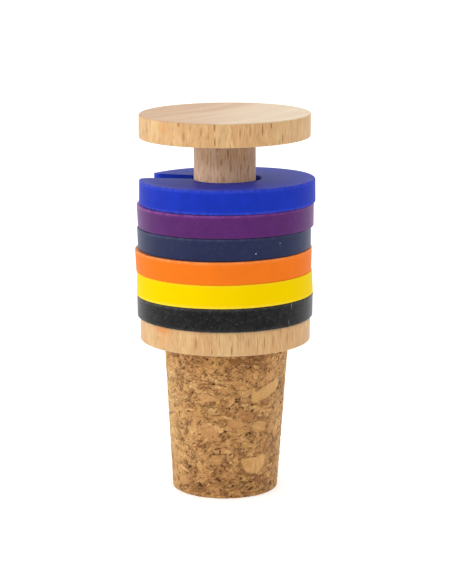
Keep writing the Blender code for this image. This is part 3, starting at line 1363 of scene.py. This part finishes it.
        # Painted light: the edges' paleness is strongest on the camera's left, where the main lamp
        # stands, and half as strong on the right.
        rub_and_light = 0.75 - 0.25 * np.sin(np.radians(bearing_of(grid.reshape(-1, 3))))
        fields = {key: np.repeat(section[:, column], columns) * rub_and_light
                  for key, column in (("upper_arris", 2), ("lower_arris", 3))}
        piece = make_piece(f"silicone_{self.size.node}", grid.reshape(-1, 3),
                           [grid_quads(rows, columns, True, False), *first, *last], fields,
                           self.finish.material())
        piece.data.set_sharp_from_angle(angle=math.radians(50.0))
        return piece

    def wall_faces(self, rows: int) -> list[np.ndarray]:
        """List the faces of one wall of the slit, as rungs between its lower and upper points.

        Args:
            rows: Number of points in the section.

        Returns:
            Arrays of section points: the outermost face, the quads and the innermost face.
        """
        corner, upright, level = self.corner_points, self.upright_points, self.level_points
        upper = corner + upright + np.arange(2 * corner + level)
        lower = (corner - 1 - np.arange(2 * corner + level)) % rows
        quads = np.stack([lower[1:-2], upper[1:-2], upper[2:-1], lower[2:-1]], axis=1)
        outside = np.arange(corner - 1, corner + upright + 1)
        inside = np.arange(upper[-1], upper[-1] + upright + 2)
        outer = np.concatenate([[lower[1]], outside, [upper[1]]])
        inner = np.concatenate([[upper[-2]], inside, [lower[-2]]])
        return [outer[None, :], quads, inner[None, :]]


@dataclass
class RingStack:
    """The six rings, lowest first, between the seat disc and the free neck.

    Args:
        seat: The height of the seat disc's upper face.
        pitch: The even distance between two faces of the stack.
        wave: How high the soft waves of the rings' faces are.
        gap: How far two rings stay back from the face where they meet.
        tight_gap: The same between the yellow ring and the orange one, which lie close.
    """

    seat: float
    pitch: float = 4.067 * MM
    wave: float = 0.035 * MM
    gap: float = 0.04 * MM
    tight_gap: float = 0.01 * MM

    def rings(self) -> list[tuple[RingSize, SiliconeFinish]]:
        """List the rings, lowest first.

        Returns:
            Each ring's size and finish.
        """
        black, navy = 15.62 * MM, 15.37 * MM
        scratches = (Oval(47.6, 35.4, 0.28, 2.0, 0.22).mark(black),
                     Oval(45.3, 32.4, 0.28, 1.4, 0.16).mark(black))
        dust_specks = (Oval(38.2, 46.5, 0.38, 0.42, 0.32).mark(navy),
                       Oval(20.2, 45.1, 0.36, 0.36, 0.7).mark(navy))
        return [
            (RingSize("ring_black", black, flare=-0.05 * MM, shift=(0.02 * MM, 0.05 * MM),
                      lean=0.0, slit_bearing=62.0, slit_spread=2.0, burr=0.07 * MM),
             SiliconeFinish(Shade.BLACK, rub_and_light=(104, 101, 100), top_rub_and_light=0.45, foot_rub_and_light=0.25,
                            dust=0.13, mottle=0.4, sheen=0.2, gloss=0.12, bloom=0.035,
                            specks=scratches)),
            (RingSize("ring_yellow", 15.6 * MM, flare=0.13 * MM, shift=(-0.04 * MM, 0.0),
                      lean=-0.09 * MM, slit_bearing=128.0, slit_spread=3.0, top_round=0.07 * MM),
             SiliconeFinish(Shade.YELLOW, rub_and_light=(244, 224, 110), top_rub_and_light=0.1, foot_rub_and_light=0.45,
                            dust=0.0, mottle=0.06, sheen=0.0, gloss=0.012)),
            (RingSize("ring_orange", 15.62 * MM, flare=-0.13 * MM, shift=(-0.23 * MM, 0.05 * MM),
                      lean=-0.06 * MM, slit_bearing=100.0, slit_spread=2.0, foot_round=0.06 * MM),
             SiliconeFinish(Shade.ORANGE, rub_and_light=(250, 172, 116), top_rub_and_light=0.55, foot_rub_and_light=0.0,
                            dust=0.0, mottle=0.16, sheen=0.0, gloss=0.03)),
            (RingSize("ring_navy", navy, flare=-0.07 * MM, shift=(-0.12 * MM, 0.0),
                      lean=-0.05 * MM, slit_bearing=147.0, slit_spread=3.0),
             SiliconeFinish(Shade.NAVY, rub_and_light=(96, 100, 132), top_rub_and_light=0.4, foot_rub_and_light=0.0,
                            dust=0.06, mottle=0.3, sheen=0.17, gloss=0.14, bloom=0.02,
                            specks=dust_specks)),
            (RingSize("ring_purple", 15.59 * MM, flare=-0.11 * MM, shift=(0.11 * MM, 0.0),
                      lean=-0.09 * MM, slit_bearing=90.0, slit_spread=4.0),
             SiliconeFinish(Shade.PURPLE, rub_and_light=(158, 84, 168), top_rub_and_light=0.6, foot_rub_and_light=0.0,
                            dust=0.05, mottle=0.4, sheen=0.2, gloss=0.12)),
            (RingSize("ring_blue", 15.55 * MM, flare=0.05 * MM, shift=(0.42 * MM, 0.0),
                      lean=0.0, slit_bearing=178.4, slit_spread=7.0, top_round=0.28 * MM),
             SiliconeFinish(Shade.BLUE, rub_and_light=(78, 94, 218), top_rub_and_light=0.6, foot_rub_and_light=0.6,
                            dust=0.03, mottle=0.4, sheen=0.1, gloss=0.07, roughness=0.54,
                            sheen_tint=(0.26, 0.2, 1.0))),
        ]

    def faces(self) -> list[StackFace]:
        """List the faces between the rings, from the seat disc up to the top ring's own top.

        Each row below holds a face's lift over its even height, and its rise to the camera's right
        and towards the camera. The seat disc's face has no waves.

        Returns:
            The faces, lowest first.
        """
        lifts_and_tilts = [
            (0.0, 0.003, 0.0), (-0.15 * MM, 0.0137, 0.0155), (0.05 * MM, 0.0062, 0.0046),
            (0.02 * MM, 0.0128, 0.0065), (-0.26 * MM, 0.0084, 0.018),
            (-0.08 * MM, 0.0117, 0.0026), (0.055 * MM, 0.0122, 0.012),
        ]
        made = []
        for place, (lift, right, front) in enumerate(lifts_and_tilts):
            level = self.seat + place * self.pitch + lift
            wave = 0.0 if place == 0 else self.wave
            gap = self.tight_gap if place == 2 else self.gap
            made.append(StackFace(level, right, front, wave, seed=40 + place, gap=gap))
        return made

    def build(self) -> list[tuple[str, bpy.types.Object]]:
        """Build each ring between its two faces.

        Returns:
            Pairs of CAD node and piece.
        """
        faces = self.faces()
        made = []
        for (size, finish), low, high in zip(self.rings(), faces, faces[1:]):
            made.append((size.node, SlitRing(size, finish, low, high).build()))
        return made


@dataclass(frozen=True)
class CorkFinish:
    """Agglomerated cork: granules of mixed tans, dark crevices and pits, and a fine grain. The
    crevices' and pits' darkness is partly the cork's own and partly painted shade.

    The tone picks the colour, from dark through middle and light to pale, with fine speckle added
    to it. The hue turns it rosy or yellow.
    """

    pale: tuple[int, int, int] = (222, 182, 126)
    light: tuple[int, int, int] = (200, 154, 100)
    middle: tuple[int, int, int] = (174, 126, 76)
    dark: tuple[int, int, int] = (130, 86, 48)
    crevice: tuple[int, int, int] = (82, 50, 25)
    rosy: tuple[int, int, int] = (182, 126, 84)
    yellow: tuple[int, int, int] = (196, 152, 86)
    speckle_size: float = 0.34 * MM
    grain_size: float = 0.2 * MM
    grain_depth: float = 0.05 * MM
    roughness: float = 0.9
    gloss: float = 0.15
    sheen: float = 0.42
    sheen_tint: tuple[float, float, float, float] = (1.0, 0.8, 0.5, 1.0)

    def material(self) -> bpy.types.Material:
        """Make the cork's material.

        Returns:
            The material.
        """
        g = Graph("agglomerated_cork")
        squashed = g.vector("MULTIPLY", g.position(), (1.0, 1.0, 1.6)).outputs["Vector"]
        fine = g.noise(squashed, self.speckle_size, 4.0, 0.75)
        calm = g.value("calm")
        speckle = g.math("MULTIPLY", g.math("SUBTRACT", fine, 0.5),
                         g.step(calm, 0.0, 1.0, 3.2, 2.0))
        tone = g.math("ADD", g.value("tone"), speckle)
        colour = g.blend(g.step(tone, -0.95, -0.15), linear(*self.dark), linear(*self.middle))
        colour = g.blend(g.step(tone, -0.15, 0.5), colour, linear(*self.light))
        colour = g.blend(g.step(tone, 0.5, 1.1), colour, linear(*self.pale))
        hue = g.value("hue")
        colour = g.blend(g.step(hue, 0.1, 1.0, 0.0, 0.4), colour, linear(*self.rosy))
        colour = g.blend(g.step(hue, -0.1, -1.0, 0.0, 0.5), colour, linear(*self.yellow))
        # Dark crevices and pits: partly the cork's own darker hollows, partly painted shade over the
        # relief's own shading.
        colour = g.blend(g.value("crevice"), colour, linear(*self.crevice))
        grain = g.noise(g.position(), self.grain_size, 3.0, 0.7)
        g.setting("Specular IOR Level", self.gloss)
        g.setting("Sheen Weight", self.sheen)
        g.setting("Sheen Tint", self.sheen_tint)
        return g.finish(colour, self.roughness, g.bump(grain, self.grain_depth))


@dataclass(frozen=True)
class Chip:
    """One granule or pit that stands out on the cork: an oval, or a half moon with a level top.

    Its sizes are in millimetres.

    Args:
        bearing: Its middle's bearing.
        height: Its middle's height.
        width: Its size along its long side.
        length: Its size across.
        tilt: How far its long side is turned up to the right, in degrees.
        tone: How light a granule is, -1 to 1, or how deep a pit is, 0 to 1.
        hue: From yellow, -1, to rosy, 1.
        half_moon: True if its upper half is cut away.
    """

    bearing: float
    height: float
    width: float
    length: float
    tilt: float
    tone: float
    hue: float = 0.0
    half_moon: bool = False

    def spread(self, points: np.ndarray) -> np.ndarray:
        """Work out the points' distances from the chip's middle.

        The skin is unrolled round the middle: across is the radius times the turn, up is the
        height. The pair is turned by the tilt and divided by the half sizes. A half moon is half an
        ellipse under a level top, joined to it by round corners: the eighth root of the sum of
        both distances' eighth powers.

        Args:
            points: N by 3 positions.

        Returns:
            N distances, 1 on the chip's edge.
        """
        turn = (bearing_of(points) - self.bearing + 180.0) % 360.0 - 180.0
        across = np.hypot(points[:, 0], points[:, 1]) * np.radians(turn)
        up = points[:, 2] - self.height * MM
        tilt = math.radians(self.tilt)
        along = (across * math.cos(tilt) + up * math.sin(tilt)) / (self.width * MM / 2)
        over = (up * math.cos(tilt) - across * math.sin(tilt)) / (self.length * MM / 2)
        if self.half_moon:
            over = (over - 1.0) / 2.0
            top = np.maximum(1.0 + over * 5.0, 0.0)
            return (np.hypot(along, over) ** 8 + top**8) ** 0.125
        return np.hypot(along, over)

    def grain(self, points: np.ndarray) -> np.ndarray:
        """Return the chip's own streaks, about -1 to 1: level ones, or upright ones in a half moon."""
        stretch = np.array([3.0, 3.0, 0.9]) if self.half_moon else np.array([1.0, 1.0, 3.4])
        return Noise(57).layered(points * stretch, 1.1 * MM, 2)


@dataclass
class SkinLayers:
    """What the cork's skin is like, with one value a point in each array.

    Args:
        tone: How light it is, about -1 to 1.
        hue: From yellow, -1, to rosy, 1.
        calm: How smooth and whole it is, 0 to 1.
        crevice: How deep it lies in a crevice, 0 to 1.
        pit: How deep it lies in a pit, 0 to 1.
        torn: How torn the granules' edges are, 0 to 1.
        grain_rise: How far its grains stand out, -1 to 1.
        crumb_rise: How far its crumbs stand out, -1 to 1.
    """

    tone: np.ndarray
    hue: np.ndarray
    calm: np.ndarray
    crevice: np.ndarray
    pit: np.ndarray
    torn: np.ndarray
    grain_rise: np.ndarray
    crumb_rise: np.ndarray


@dataclass
class CorkSkin:
    """The pressed granules on the cork's skin: their tones, crevices, pits and relief.

    Bend and slope are the size and the reach of the noise that warps the granules. The four last
    sizes are how deep crevices and pits are, and how far grains and crumbs rise.
    """

    blocks: CellField = CellField(13, 3.0 * MM, 1.3)
    grains: CellField = CellField(11, 1.3 * MM, 1.7)
    crumbs: CellField = CellField(12, 0.52 * MM, 1.5)
    bend: tuple[float, float] = (2.4 * MM, 0.5 * MM)
    slope: tuple[float, float] = (5.0 * MM, 1.3 * MM)
    crevice_depth: float = 0.11 * MM
    pit_depth: float = 0.24 * MM
    grain_height: float = 0.04 * MM
    crumb_height: float = 0.02 * MM

    def chips(self) -> list[Chip]:
        """List the single granules that stand out.

        Returns:
            The granules, the front's first and then those round the back.
        """
        return [
            Chip(31.0, 5.8, 5.3, 3.2, -2.0, 0.57, -0.6, half_moon=True),
            Chip(42.8, 19.3, 7.8, 2.5, 18.0, 0.37, -0.5),
            Chip(46.5, 21.9, 2.7, 1.6, 24.0, 0.16, 0.5), Chip(28.8, 22.7, 1.2, 1.7, 0.0, 0.35, 0.1),
            Chip(20.6, 15.2, 3.1, 1.9, -6.0, -0.62, 0.6),
            Chip(9.0, 25.3, 2.6, 1.2, 0.0, -0.85, 0.1),
            Chip(-19.0, 18.6, 3.6, 1.4, -6.0, 0.22, 0.5),
            Chip(-17.0, 12.3, 3.2, 2.0, 12.0, 0.08, 0.45),
            Chip(-4.9, 12.5, 0.9, 0.65, 0.0, 1.0, 0.0),
            Chip(-34.4, 20.3, 1.9, 0.3, -22.0, 1.0, -0.2),
            Chip(-35.0, 16.1, 1.1, 0.36, 10.0, 0.9, -0.2),
            Chip(-27.4, 5.8, 1.2, 2.1, 12.0, 0.25, -0.6),
            Chip(-48.7, 4.7, 2.9, 0.6, -20.0, 0.75, -0.3),
            Chip(-50.7, 2.5, 3.0, 1.9, 0.0, 0.2, 0.2), Chip(35.1, 13.0, 3.2, 2.3, -8.0, 0.14, -0.4),
            Chip(9.5, 13.8, 2.9, 1.5, -5.0, 0.12, 0.2), Chip(62.0, 12.0, 3.4, 1.4, 70.0, 0.2, -0.2),
            Chip(118.0, 17.0, 4.8, 2.2, 20.0, 0.3, -0.5),
            Chip(150.0, 7.0, 3.6, 2.4, -15.0, -0.3, 0.8),
            Chip(188.0, 20.0, 4.0, 1.8, -20.0, 0.25, 0.6),
            Chip(214.0, 11.0, 4.6, 2.6, 12.0, 0.35, -0.6, half_moon=True),
            Chip(246.0, 19.0, 3.2, 2.0, 8.0, -0.4, 0.5),
            Chip(265.0, 6.0, 4.2, 1.9, -25.0, 0.2, 0.3),
        ]

    def pits(self) -> list[Chip]:
        """List the single dark pits and crevices.

        Returns:
            The pits.
        """
        return [
            Chip(23.0, 24.1, 0.5, 0.5, 0.0, 1.0), Chip(25.8, 17.2, 0.75, 0.42, 25.0, 1.0),
            Chip(26.7, 16.1, 0.8, 0.5, 20.0, 1.0), Chip(10.9, 16.5, 0.5, 0.42, 0.0, 0.8),
            Chip(10.8, 18.0, 1.2, 0.42, 0.0, 0.9), Chip(6.5, 17.4, 1.2, 0.28, 38.0, 0.7),
            Chip(27.7, 10.2, 0.7, 0.36, -25.0, 0.9), Chip(25.8, 11.3, 0.9, 0.32, 5.0, 0.7),
            Chip(56.5, 10.3, 0.34, 0.8, 0.0, 0.8), Chip(-31.0, 8.8, 0.7, 0.4, 0.0, 0.8),
            Chip(16.7, 3.7, 0.6, 0.5, -30.0, 0.9), Chip(-7.3, 3.5, 1.2, 0.6, -30.0, 0.9),
            Chip(-48.0, 6.2, 0.7, 0.55, 0.0, 0.7), Chip(-39.6, 15.7, 0.8, 0.32, -8.0, 1.0),
            Chip(-4.1, 22.9, 0.8, 0.4, 5.0, 0.9), Chip(-18.1, 25.7, 0.8, 0.32, -10.0, 0.9),
            Chip(-60.2, 2.4, 0.6, 0.9, 0.0, 0.8), Chip(-27.0, 14.0, 1.3, 0.36, 45.0, 0.7),
            Chip(-8.5, 15.5, 2.6, 0.24, 5.0, 0.7), Chip(8.5, 7.8, 1.5, 0.34, 65.0, 0.75),
            Chip(-8.0, 9.3, 1.6, 0.34, 10.0, 0.8), Chip(-5.6, 8.7, 0.34, 1.0, 0.0, 0.8),
            Chip(-48.4, 24.3, 1.3, 0.6, -40.0, 0.9), Chip(-44.0, 23.5, 1.2, 0.5, 40.0, 0.9),
            Chip(-1.5, 10.9, 1.8, 0.3, 38.0, 0.7), Chip(28.5, 1.5, 1.6, 0.6, 25.0, 0.9),
            Chip(20.1, 2.9, 1.4, 0.5, -20.0, 0.8), Chip(-18.3, 0.8, 1.4, 0.6, 0.0, 0.8),
            Chip(58.5, 1.6, 0.9, 1.0, 0.0, 0.9), Chip(-27.7, 10.5, 2.0, 0.28, 0.0, 0.6),
        ]

    def flow(self, points: np.ndarray) -> np.ndarray:
        """Warp points with soft noise, so that the granules curl, tilt and interlock.

        Args:
            points: N by 3 positions.

        Returns:
            The points in their new places.
        """
        size, reach = self.bend
        bend = np.stack([Noise(100 + axis).layered(points, size, 3) for axis in range(3)], axis=1)
        warped = points + bend * reach
        size, reach = self.slope
        warped[:, 2] += Noise(120).octave(points, size) * reach
        return warped

    def granules(self, points: np.ndarray) -> SkinLayers:
        """Grow the granules all over the skin.

        Blocks are large cells, some of them calm: smooth and whole. The rest are broken into
        grains and crumbs. Crevices follow the edges of cells, broken by noise, and pits lie where
        fine noise is highest.

        Args:
            points: N by 3 positions on the skin.

        Returns:
            The skin's layers.
        """
        warped = self.flow(points)
        block_tone, block_hue, block_edge = self.blocks.seek(warped)
        grain_tone, grain_hue, grain_edge = self.grains.seek(warped)
        crumb_tone, _, crumb_edge = self.crumbs.seek(warped)
        calm = 0.6 * smoothstep(0.5, 0.75, block_hue) * smoothstep(0.03, 0.2, block_edge)
        broken = 1.0 - calm
        flakes = Noise(51).layered(warped * [1.0, 1.0, 3.2], 1.0 * MM, 2)
        tone = (0.2 * block_tone + 0.3 * flakes * (0.5 + 0.5 * broken)
                + broken * (0.34 * grain_tone + 0.26 * crumb_tone))
        hue = 0.4 * block_tone * block_hue + 0.5 * grain_hue * broken
        torn = smoothstep(-0.3, 0.4, Noise(9).layered(warped, 1.1 * MM, 2))
        torn_fine = smoothstep(-0.2, 0.6, Noise(19).layered(warped, 0.8 * MM, 2))
        crevice = np.maximum.reduce([
            smoothstep(0.13, 0.03, grain_edge) * torn * broken * 0.9,
            smoothstep(0.18, 0.05, crumb_edge) * torn_fine * broken * 0.45,
            smoothstep(0.08, 0.02, block_edge) * torn * 0.8,
            smoothstep(0.62, 0.95, -flakes) * 0.8,
        ])
        hollow = Noise(31).layered(points * [1.0, 1.0, 1.4], 0.55 * MM, 2)
        speck = Noise(35).layered(points * [1.0, 1.0, 1.5], 0.4 * MM, 2)
        pit = np.maximum(smoothstep(0.74, 0.95, hollow), smoothstep(0.8, 1.05, speck)) * broken
        return SkinLayers(tone, hue, calm, crevice, pit, torn, grain_tone, crumb_tone)

    def press_chips(self, skin: SkinLayers, points: np.ndarray, ragged: np.ndarray) -> None:
        """Press the single granules into the skin, each calm inside with a torn crevice round it.

        Args:
            skin: The skin's layers, which are changed.
            points: N by 3 positions on the skin.
            ragged: How far a chip's edge strays at each point.
        """
        for chip in self.chips():
            spread = chip.spread(points) + ragged * (0.3 if chip.half_moon else 1.0)
            inside = smoothstep(1.06, 0.94 if chip.half_moon else 0.82, spread)
            rim = smoothstep(0.9, 1.0, spread) * smoothstep(1.22, 1.02, spread)
            plain = chip.tone + (0.45 if chip.half_moon else 0.28) * chip.grain(points)
            skin.tone = skin.tone + (plain - skin.tone) * inside * 0.9
            skin.hue = skin.hue + (chip.hue - skin.hue) * inside
            skin.calm = np.maximum(skin.calm, inside * 0.75)
            skin.crevice = np.maximum(skin.crevice * (1.0 - inside), rim * skin.torn * 0.7)
            skin.pit = skin.pit * (1.0 - inside)

    def dig_pits(self, skin: SkinLayers, points: np.ndarray, ragged: np.ndarray) -> None:
        """Dig the single pits into the skin.

        Args:
            skin: The skin's layers, which are changed.
            points: N by 3 positions on the skin.
            ragged: How far a pit's edge strays at each point.
        """
        for chip in self.pits():
            spread = chip.spread(points) + 1.4 * ragged
            skin.pit = np.maximum(skin.pit, smoothstep(1.15, 0.55, spread) * chip.tone)

    def paint_shade_and_light(self, skin: SkinLayers, points: np.ndarray) -> None:
        """Darken the skin towards its foot, paint shade at its top under the seat disc, and paint
        light on the camera's far left, where it turns paler and yellower.

        Args:
            skin: The skin's layers, which are changed.
            points: N by 3 positions on the skin.
        """
        # Painted shade at the top, under the seat disc, and a darker skin towards the foot.
        dark = 0.28 * smoothstep(22.5 * MM, 26.0 * MM, points[:, 2])
        dark = np.maximum(dark, 0.34 * smoothstep(9.0 * MM, 2.0 * MM, points[:, 2]))
        # Painted light: paler and yellower on the camera's far left, towards the left lamp.
        bearing = (bearing_of(points) + 180.0) % 360.0 - 180.0
        pale = smoothstep(-30.0, -72.0, bearing) * smoothstep(-165.0, -100.0, bearing)
        skin.tone = skin.tone - 0.06 - dark + 0.42 * pale * (1.0 - dark)
        skin.hue = skin.hue - 0.25 * pale

    def sample(self, points: np.ndarray) -> dict[str, np.ndarray]:
        """Work out the skin's values at points.

        Args:
            points: N by 3 positions on the skin.

        Returns:
            tone, hue, calm, crevice and relief. The relief is in metres, the rest about -1 to 1.
        """
        skin = self.granules(points)
        ragged = 0.1 * Noise(77).layered(points, 0.8 * MM, 2)
        self.press_chips(skin, points, ragged)
        self.dig_pits(skin, points, ragged)
        self.paint_shade_and_light(skin, points)
        rise = self.grain_height * skin.grain_rise + self.crumb_height * skin.crumb_rise
        sunk = self.crevice_depth * skin.crevice + self.pit_depth * skin.pit
        relief = (1.0 - skin.calm) * rise - sunk
        # How dark the crevices and pits are painted: partly the cork's own colour, partly painted
        # shade.
        dark = np.clip(np.maximum(skin.crevice * 0.8, skin.pit), 0.0, 1.0)
        return {"tone": skin.tone, "hue": skin.hue, "calm": skin.calm, "crevice": dark,
                "relief": relief}


@dataclass
class CorkPlug:
    """The tapered cork plug, whose skin shows its pressed granules.

    The end and top shifts are its two ends' way off the axis to the camera's right.
    """

    top: float
    top_radius: float
    end_radius: float = 9.45 * MM
    end_round: float = 0.12 * MM
    bore_radius: float = 4.2 * MM
    bore_bottom: float = 15.1 * MM
    end_shift: float = 0.03 * MM
    top_shift: float = 0.29 * MM
    columns: int = 440
    wall_rows: int = 190
    finish: CorkFinish = field(default_factory=CorkFinish)
    skin: CorkSkin = field(default_factory=CorkSkin)

    def profile(self) -> np.ndarray:
        """Work out the plug's profile from the free end's centre, up the taper and down the bore.

        Returns:
            Rows of radius, height, and the outward direction's radius and height parts.
        """
        fillet = self.end_round
        centre = self.end_radius - fillet
        foot_r = np.linspace(0.0, centre, 20)
        foot = np.stack([foot_r, 0 * foot_r, 0 * foot_r, 0 * foot_r - 1.0], axis=1)
        quarter = np.radians(np.linspace(-90.0, 0.0, 8)[1:-1])
        corner = np.stack([centre + fillet * np.cos(quarter), fillet + fillet * np.sin(quarter),
                           np.cos(quarter), np.sin(quarter)], axis=1)
        height = np.linspace(fillet, self.top, self.wall_rows)
        share = (height - fillet) / (self.top - fillet)
        wall_r = self.end_radius + (self.top_radius - self.end_radius) * share
        wall = np.stack([wall_r, height, np.ones(len(height)), np.zeros(len(height))], axis=1)
        shelf_r = np.linspace(self.top_radius, self.bore_radius, 5)[1:]
        shelf = np.stack([shelf_r, 0 * shelf_r + self.top, 0 * shelf_r, 0 * shelf_r], axis=1)
        bore_h = np.linspace(self.top, self.bore_bottom, 3)[1:]
        bore = np.stack([0 * bore_h + self.bore_radius, bore_h, 0 * bore_h, 0 * bore_h], axis=1)
        end = np.array([[0.0, self.bore_bottom, 0.0, 0.0]])
        return np.concatenate([foot, corner, wall, shelf, bore, end])

    def build(self) -> bpy.types.Object:
        """Spin the profile, press the granules' relief into it and set it a little off centre.

        Returns:
            The plug.
        """
        inner = self.profile()[1:-1]
        shell, outward = spun_shell(inner, self.columns)
        fields = self.skin.sample(shell)
        relief = fields.pop("relief")
        across = np.repeat(inner[:, 2], self.columns)
        up = np.repeat(inner[:, 3], self.columns)
        away = outward * across[:, None]
        away[:, 2] = up
        share = shell[:, 2] / self.top
        side = self.end_shift + (self.top_shift - self.end_shift) * share
        shell = slid(shell + away * relief[:, None], side)
        shell[:, 2] = np.maximum(shell[:, 2], 0.0)
        return spun_piece("cork", shell, (0.0, self.bore_bottom), self.columns, fields,
                          self.finish.material())


@dataclass(frozen=True)
class SoftLamp:
    """A soft square light that faces the stopper's middle.

    Args:
        name: The light's name.
        bearing: Degrees round from the camera, positive to its right.
        elevation: Degrees above the horizon.
        distance: Metres from the stopper's middle.
        width: The side of the square, in metres.
        power: Watts.
    """

    name: str
    bearing: float
    elevation: float
    distance: float
    width: float
    power: float

    def hang(self, middle: float = 40.0 * MM) -> bpy.types.Object:
        """Hang the light.

        Args:
            middle: Height of the point that it faces.

        Returns:
            The light.
        """
        data = bpy.data.lights.new(self.name, "AREA")
        data.shape = "SQUARE"
        data.size = self.width
        data.energy = self.power
        made = bpy.data.objects.new(self.name, data)
        rise = math.radians(self.elevation)
        x, y, _ = on_axis_circle(self.bearing, self.distance * math.cos(rise), 0.0)
        made.location = (x, y, middle + self.distance * math.sin(rise))
        toward = made.location.copy()
        toward.z -= middle
        made.rotation_euler = toward.to_track_quat("Z", "Y").to_euler()
        bpy.context.scene.collection.objects.link(made)
        return made


@dataclass(frozen=True)
class Studio:
    """The floor, the soft lights and the camera that match the photograph's view."""

    lens: float = 121.87
    distance: float = 344.64 * MM
    camera_height: float = 108.10 * MM
    camera_side: float = 0.2 * MM
    pitch: float = 11.904
    floor_reach: float = 3.0
    floor_glow: float = 0.32
    world_strength: float = 0.92
    lamps: tuple[SoftLamp, ...] = (
        SoftLamp("left_softbox", -72.0, 14.0, 0.8, 0.5, 1.9),
        SoftLamp("back_softbox", 176.0, 32.0, 0.8, 0.8, 1.3),
    )

    def camera(self) -> bpy.types.Object:
        """Stand the camera at the photograph's viewpoint.

        Returns:
            The camera.
        """
        data = bpy.data.cameras.new("photo_camera")
        data.lens = self.lens
        data.clip_end = 10.0
        made = bpy.data.objects.new("photo_camera", data)
        turn = math.radians(CAMERA_AZIMUTH)
        side = self.camera_side
        made.location = (self.distance * math.sin(turn) + side * math.cos(turn),
                         -self.distance * math.cos(turn) + side * math.sin(turn),
                         self.camera_height)
        made.rotation_euler = (math.radians(90.0 - self.pitch), 0.0, turn)
        bpy.context.scene.collection.objects.link(made)
        bpy.context.scene.camera = made
        return made

    def floor(self) -> bpy.types.Object:
        """Lay the pale floor at the cork's end, lit a little from below like a light table.

        Returns:
            The floor.
        """
        reach = self.floor_reach
        corners = np.array([[-reach, -reach, 0.0], [reach, -reach, 0.0],
                            [reach, reach, 0.0], [-reach, reach, 0.0]])
        g = Graph("pale_floor")
        g.setting("Specular IOR Level", 0.0)
        g.setting("Emission Color", (1.0, 1.0, 1.0, 1.0))
        g.setting("Emission Strength", self.floor_glow)
        made = make_piece("floor", corners, [np.array([[0, 1, 2, 3]])], {},
                          g.finish(linear(250, 250, 250), 0.9))
        return made

    def world(self) -> None:
        """Fill the room with even white light."""
        world = bpy.data.worlds.new("soft_room")
        world.use_nodes = True
        shade = world.node_tree.nodes["Background"]
        shade.inputs["Color"].default_value = (1.0, 1.0, 1.0, 1.0)
        shade.inputs["Strength"].default_value = self.world_strength
        bpy.context.scene.world = world

    def build(self) -> None:
        """Set up the whole studio."""
        self.camera()
        self.floor()
        self.world()
        for lamp in self.lamps:
            lamp.hang()
        bpy.context.scene.view_settings.view_transform = "Standard"


def seat_piece(piece: bpy.types.Object, node: str) -> None:
    """Put a piece in a CAD node's place, on the root body.

    Args:
        piece: The piece.
        node: The CAD node that it stands for.
    """
    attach(piece, ROOT)
    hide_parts(node)
    logging.info("%s stands for %s: %d faces", piece.name, node, len(piece.data.polygons))


def write_sizes() -> None:
    """Update the view layer.
    """
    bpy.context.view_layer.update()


def main() -> None:
    """Build the stopper's pieces and the studio round them."""
    logging.basicConfig(level=logging.INFO, format="%(message)s")
    _, head_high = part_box("turned_head")
    cork_low, cork_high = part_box("cork_plug")
    head = TurnedHead(top=head_high.z)
    seat_piece(head.build(), "turned_head")
    cork = CorkPlug(top=head.seat_height - GLUE_LINE, top_radius=(cork_high.x - cork_low.x) / 2)
    seat_piece(cork.build(), "cork_plug")
    stack = RingStack(seat=head.seat_height + head.seat_thickness)
    for node, piece in stack.build():
        seat_piece(piece, node)
    Studio().build()
    write_sizes()


if __name__ == "__main__":
    main()
